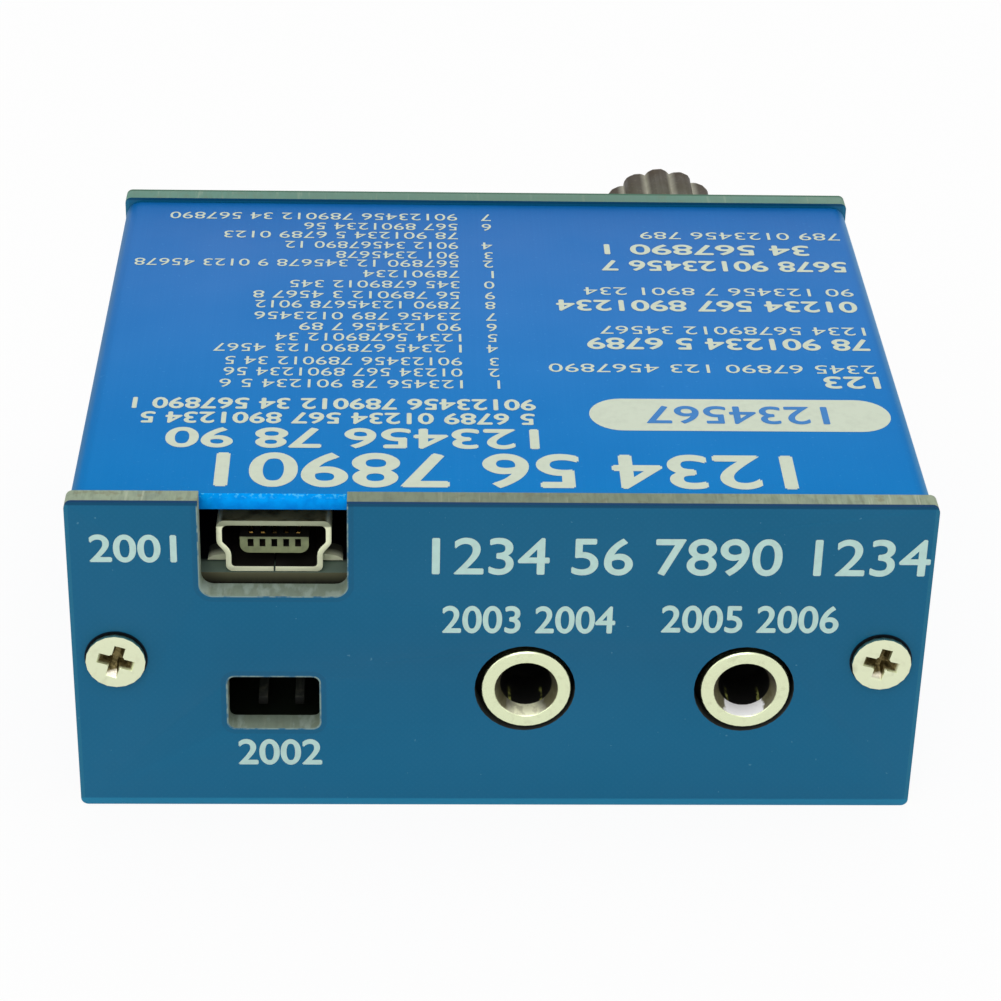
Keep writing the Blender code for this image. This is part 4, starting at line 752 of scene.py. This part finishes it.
def make_controller_finish(low, high):
    """Black mask as painted shade, a pale strip of painted light along the front edge, and a front edge
    painted lighter above and dark below, as painted light and shade.
    """
    finish = make_board_finish("controller_mask", srgb(13, 15, 22), srgb(42, 44, 36))
    finish.shader.inputs["Specular IOR Level"].default_value = 0.1
    depth = finish.calc("SUBTRACT", finish.part("Object", "Y"), low.y)
    # Painted light: a pale strip on the top along the front edge.
    upper = finish.span(finish.part("Normal", "Z"), 0.5, 0.7)
    strip = finish.calc("MULTIPLY", upper, finish.span(depth, lit_strip_depth, lit_strip_depth * 1.4, 1, 0))
    finish.tint(finish.calc("MULTIPLY", strip, 0.95), srgb(122, 142, 128))
    # The front edge: painted light on its upper half, painted shade on its lower part.
    front = finish.span(finish.part("Normal", "Y"), -0.8, -0.4, 1, 0)
    level = finish.part("Object", "Z")
    middle_z = (low.z + high.z) / 2
    finish.tint(finish.calc("MULTIPLY", front, finish.span(level, middle_z, high.z)), srgb(118, 118, 92))
    finish.tint(finish.calc("MULTIPLY", front, finish.span(level, low.z + edge_shade_reach, middle_z, 1, 0)),
                srgb(12, 12, 10))
    return finish


dress("controller_board", make_controller_finish(*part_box("controller_board")))
for name in ("socket_strip_left", "socket_strip_right", "pin_strip_left", "pin_strip_right"):
    dress(name, black_finish)
dress("controller_chip",
      make_plastic_finish("chip_epoxy", srgb(26, 26, 27), srgb(40, 40, 40), roughness=0.6))
dress("controller_crystal",
      make_plate_finish("crystal_can", srgb(206, 206, 200), roughness=0.28), can_bevel)

# Potentiometer: a moulded body soldered to the main board, held in the control panel by its turned brass
# bush with washer and nut under nickel; a nickel shaft with a flat turns in the bush.
metal_bevel = 0.03 * mm
metal_finish = make_plate_finish("pot_nickel", srgb(214, 216, 202), roughness=0.28)
dress("speed_pot_body", black_finish)
for name in ("speed_pot_bush", "speed_pot_washer", "speed_pot_nut", "speed_pot_shaft"):
    dress(name, metal_finish, metal_bevel)

# Knob: moulded phenolic, brown-black and satin, pushed on the shaft's flat. It is paler in the grooves
# between its rounded lobes and on the part next to the panel.
knob_bevel = 0.06 * mm
groove_radius = 4.77 * mm
groove_depth = 0.4 * mm
speck_depth = 0.01 * mm
knob_speck_scale, knob_pale_scale = 3200, 1200


def make_knob_finish(low, high):
    """Speckled phenolic, paler next to the panel and in the grooves."""
    finish = make_plastic_finish("knob_phenolic", srgb(52, 39, 26), srgb(68, 55, 40), roughness=0.55)
    finish.shader.inputs["Specular IOR Level"].default_value = 0.12
    speck = finish.noise(knob_speck_scale, detail=2)
    finish.tint(finish.span(speck, 0.60, 0.72, 0, 0.35), srgb(120, 110, 94))
    inner_end = finish.span(finish.part("Object", "Y"), low.y, high.y, 0.85, 0)
    finish.tint(inner_end, srgb(122, 128, 110))
    ring = finish.ring((low + high) / 2)
    side = finish.span(ring, groove_radius * 0.97, groove_radius * 0.99)
    low_part = finish.span(ring, groove_radius, groove_radius + groove_depth, 1, 0)
    groove = finish.calc("MULTIPLY", side, low_part)
    pale_mottle = finish.span(finish.noise(knob_pale_scale, detail=4), 0.3, 0.7, 0.6, 0.95)
    finish.tint(finish.calc("MULTIPLY", groove, pale_mottle), srgb(184, 182, 164))
    finish.bump(speck, speck_depth, strength=0.3)
    return finish


dress("speed_knob", make_knob_finish(*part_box("speed_knob")), knob_bevel)

# Push buttons: black moulded plungers that come through the control panel, each in the body of its
# right-angle switch, which is soldered to the main board's edge.
button_finish = make_plastic_finish("button_black", srgb(24, 24, 25), srgb(50, 48, 46), roughness=0.4)
for name in ("set", "memory_1", "memory_2"):
    dress(name + "_switch_body", black_finish)
    dress(name + "_button", button_finish)

# Loose parts, soldered to the main board: a moulded buzzer and transistor, a capacitor in a blue sleeve
# and three resistors in tan paint.
for name in ("sidetone_buzzer", "keying_transistor"):
    dress(name, black_finish)
sleeve_finish = make_plastic_finish(
    "capacitor_sleeve", srgb(20, 44, 110), srgb(30, 60, 130), roughness=0.35)
dress("supply_capacitor", sleeve_finish)
paint_finish = make_plastic_finish(
    "resistor_paint", srgb(196, 170, 128), srgb(170, 144, 104), roughness=0.55)
for index in (1, 2, 3):
    dress("resistor_%d" % index, paint_finish)

# Panel print: pale ink screened on the mask. Plain digits mark the four ports and head the panel;
# each place is left, right, low and high in mm on the panel.
print_lift = 0.012 * mm
strike_lift = 0.001 * mm
large_digit = 1.7 * mm
small_digit_steps, large_digit_steps = 3, 8
ink_depth, ink_scale = 0.004 * mm, 1800
panel_ink_colour = srgb(190, 222, 214)
port_marks = (
    ("usb_mark", "2001", -27.42, -21.73, 19.85, 21.90, 0.06),
    ("program_mark", "2002", -17.91, -12.23, 3.45, 5.50, 0.06),
    ("paddle_mark", "2003 2004", -3.94, 7.68, 14.35, 16.45, 0.05),
    ("output_mark", "2005 2006", 10.89, 22.87, 14.45, 16.55, 0.05),
    ("panel_heading", "1234 56 7890 1234", -4.67, 28.68, 19.00, 21.80, 0.05))


def print_line(block, text, start, end, low, high, weight, to_place):
    """Digits of the built-in font from low to high, drawn out to the end or, without one, left as wide
    as they are. A heavier line is struck four times, its weight to each side."""
    curve = bpy.data.curves.new("line", "FONT")
    curve.body = text
    curve.resolution_u = small_digit_steps if abs(high - low) < large_digit else large_digit_steps
    line = bpy.data.objects.new("line", curve)
    mesh = bpy.data.meshes.new_from_object(line)
    places = [vertex.co for vertex in mesh.vertices]
    first_x, last_x = min(p.x for p in places), max(p.x for p in places)
    first_y, last_y = min(p.y for p in places), max(p.y for p in places)
    if end is None:
        end = start + (high - low) * (last_x - first_x) / (last_y - first_y)
    strikes = ((-1, 0), (1, 0), (0, -1), (0, 1)) if weight else ((0, 0),)
    for strike, (aside, up) in enumerate(strikes):
        corners = []
        for point in places:
            x = start + (end - start) * (point.x - first_x) / (last_x - first_x) + aside * weight
            y = low + (high - low) * (point.y - first_y) / (last_y - first_y) + up * weight
            corners.append(block.verts.new(to_place(x, y, strike * strike_lift)))
        for face in mesh.polygons:
            block.faces.new([corners[index] for index in face.vertices])
    bpy.data.objects.remove(line)
    bpy.data.curves.remove(curve)
    bpy.data.meshes.remove(mesh)


def make_ink_finish(name, colour, patchy):
    """Screen ink: matt, a little thin in places, with a slightly uneven surface."""
    finish = Finish(name, colour, roughness=0.55, specular=0.25)
    patch = finish.noise(ink_scale, detail=4)
    thin = [value * 0.80 for value in colour[:3]]
    finish.tint(finish.span(patch, 0.45, 0.75, 0, patchy), (*thin, 1))
    finish.bump(patch, ink_depth, strength=0.5)
    return finish


def ink_piece(name, block, finish):
    """The block as one piece of print that rides on the case."""
    mesh = bpy.data.meshes.new(name)
    block.to_mesh(mesh)
    block.free()
    mesh.materials.append(finish.material)
    piece = bpy.data.objects.new(name, mesh)
    bpy.context.scene.collection.objects.link(piece)
    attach(piece, "case")


def on_panel(x, z, lift):
    """A place on the socket panel's print, from metres along X and Z."""
    return Vector((x, front_y - print_lift - lift, z))


panel_ink = make_ink_finish("panel_ink", panel_ink_colour, patchy=0.5)
for name, digits, left, right, low, high, weight in port_marks:
    mark = bmesh.new()
    print_line(mark, digits, left * mm, right * mm, low * mm, high * mm, weight * mm, on_panel)
    ink_piece(name, mark, panel_ink)

# Cover print: the same pale ink screened on the case's top, to be read from the knob's side.
# Digits that count on in groups make a title, a heading with its two lines, numbered rows with
# their keys, and a second column under a plate of solid ink.
cover_ink_colour = srgb(205, 215, 195)
plate_digit_colour = srgb(40, 122, 192)
cover_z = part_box("top_shell")[1].z
title_digits, title_place, title_weight = "1234 56 78901", (19.78, -19.20, 7.25, 2.80), 0.13
heading_line, heading_height, heading_pitch, heading_weight = (9.45, 2.59, -22.89), 2.70, 2.1, 0.09
group_lengths = (6, 2, 6, 1, 4, 5, 3, 7, 4, 8)
row_height = 1.25
row_pitch = 0.86
row_start = -2.45
row_ends = (
    (17.44, -19.75), (19.23, -19.56), (20.94, -19.52), (22.99, -20.49), (24.72, -16.08), (26.41, -14.38),
    (28.17, -17.77), (30.08, -17.78), (31.74, -18.01), (33.57, -15.30), (35.39, -9.80), (37.23, -27.35),
    (38.75, -11.93), (40.51, -15.93), (42.31, -20.76), (43.95, -14.57), (45.78, -25.21))
unkeyed_row = 14
key_start = 0.20
bold_lines = ((12.30, 2.44, -24.86), (14.40, 2.58, -25.58))
bold_height, bold_pitch, bold_weight = 1.55, 1.06, 0.055
column_bold = (
    (18.10, 27.42, 23.52), (24.00, 27.45, 6.81), (30.25, 27.39, 4.81), (37.20, 27.53, 8.58),
    (40.10, 24.93, 8.99))
column_bold_height, column_bold_pitch, column_bold_weight = 1.75, 1.30, 0.06
column_light = ((20.10, 27.45, 3.78), (26.20, 27.52, 7.81), (32.70, 27.49, 6.96), (42.70, 27.69, 11.90))
column_light_height, column_light_pitch = 1.30, 1.05
plate_left, plate_right, plate_low, plate_high = 27.54, 6.33, 10.78, 15.44
plate_end_steps = 16
plate_number, plate_number_place, plate_number_weight = "1234567", (23.10, 10.32, 14.35, 11.85), 0.05


def on_cover(x, y, lift):
    """A place on the cover's print, from metres along X and from the front along Y."""
    return Vector((x, front_y + y, cover_z + print_lift + lift))


def on_plate(x, y, lift):
    """The same on top of the plate of solid ink."""
    return on_cover(x, y, print_lift + lift)


class Counting:
    """Digits that count on from 1 to 0 through a block, in groups as long as words."""

    def __init__(self):
        self.digit = 0
        self.group = 0

    def row(self, length):
        """The next digits of the block, with gaps, length characters long."""
        text = ""
        while len(text) < length:
            for place in range(group_lengths[self.group % len(group_lengths)]):
                self.digit = self.digit % 10 + 1
                text += str(self.digit % 10)
            self.group += 1
            text += " "
        return text[:length].strip()


def print_cover_row(block, counting, middle, start, end, height, pitch, weight):
    """One row on the cover: its digits' feet are turned to the knob's side."""
    text = counting.row(round(abs(start - end) / pitch))
    print_line(block, text, start * mm, end * mm, (middle + height / 2) * mm, (middle - height / 2) * mm,
               weight * mm, on_cover)


cover_ink = make_ink_finish("cover_ink", cover_ink_colour, patchy=0.35)
title = bmesh.new()
print_line(title, title_digits, *(value * mm for value in title_place), title_weight * mm, on_cover)
ink_piece("cover_title", title, cover_ink)

head = bmesh.new()
counting = Counting()
print_cover_row(head, counting, *heading_line, heading_height, heading_pitch, heading_weight)
for line in bold_lines:
    print_cover_row(head, counting, *line, bold_height, bold_pitch, bold_weight)
ink_piece("cover_heading", head, cover_ink)

rows = bmesh.new()
keys = bmesh.new()
counting = Counting()
for index, (middle, end) in enumerate(row_ends):
    print_cover_row(rows, counting, middle, row_start, end, row_height, row_pitch, 0)
    if index != unkeyed_row:
        print_line(keys, str((index + 1) % 10), key_start * mm, None, (middle + row_height / 2) * mm,
                   (middle - row_height / 2) * mm, 0, on_cover)
ink_piece("cover_rows", rows, cover_ink)
ink_piece("cover_keys", keys, cover_ink)

column = bmesh.new()
counting = Counting()
for line in column_bold:
    print_cover_row(column, counting, *line, column_bold_height, column_bold_pitch, column_bold_weight)
for line in column_light:
    print_cover_row(column, counting, *line, column_light_height, column_light_pitch, 0)
ink_piece("cover_column", column, cover_ink)


def make_plate(block):
    """A solid bar of ink with half-round ends."""
    radius = (plate_high - plate_low) / 2 * mm
    middle_y = (plate_low + plate_high) / 2 * mm
    outline = []
    for end_x, first in ((plate_left * mm - radius, -90), (plate_right * mm + radius, 90)):
        for step in range(plate_end_steps + 1):
            angle = math.radians(first + 180 * step / plate_end_steps)
            place = on_cover(end_x + radius * math.cos(angle), middle_y + radius * math.sin(angle), 0)
            outline.append(block.verts.new(place))
    block.faces.new(outline)


plate = bmesh.new()
make_plate(plate)
ink_piece("cover_plate", plate, cover_ink)
plate_digits = bmesh.new()
print_line(plate_digits, plate_number, *(value * mm for value in plate_number_place),
           plate_number_weight * mm, on_plate)
plate_blue = make_ink_finish("plate_blue", plate_digit_colour, patchy=0.3)
ink_piece("cover_plate_digits", plate_digits, plate_blue)

# Size of the dressed model: the box round every shown piece but the table.
low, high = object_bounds()
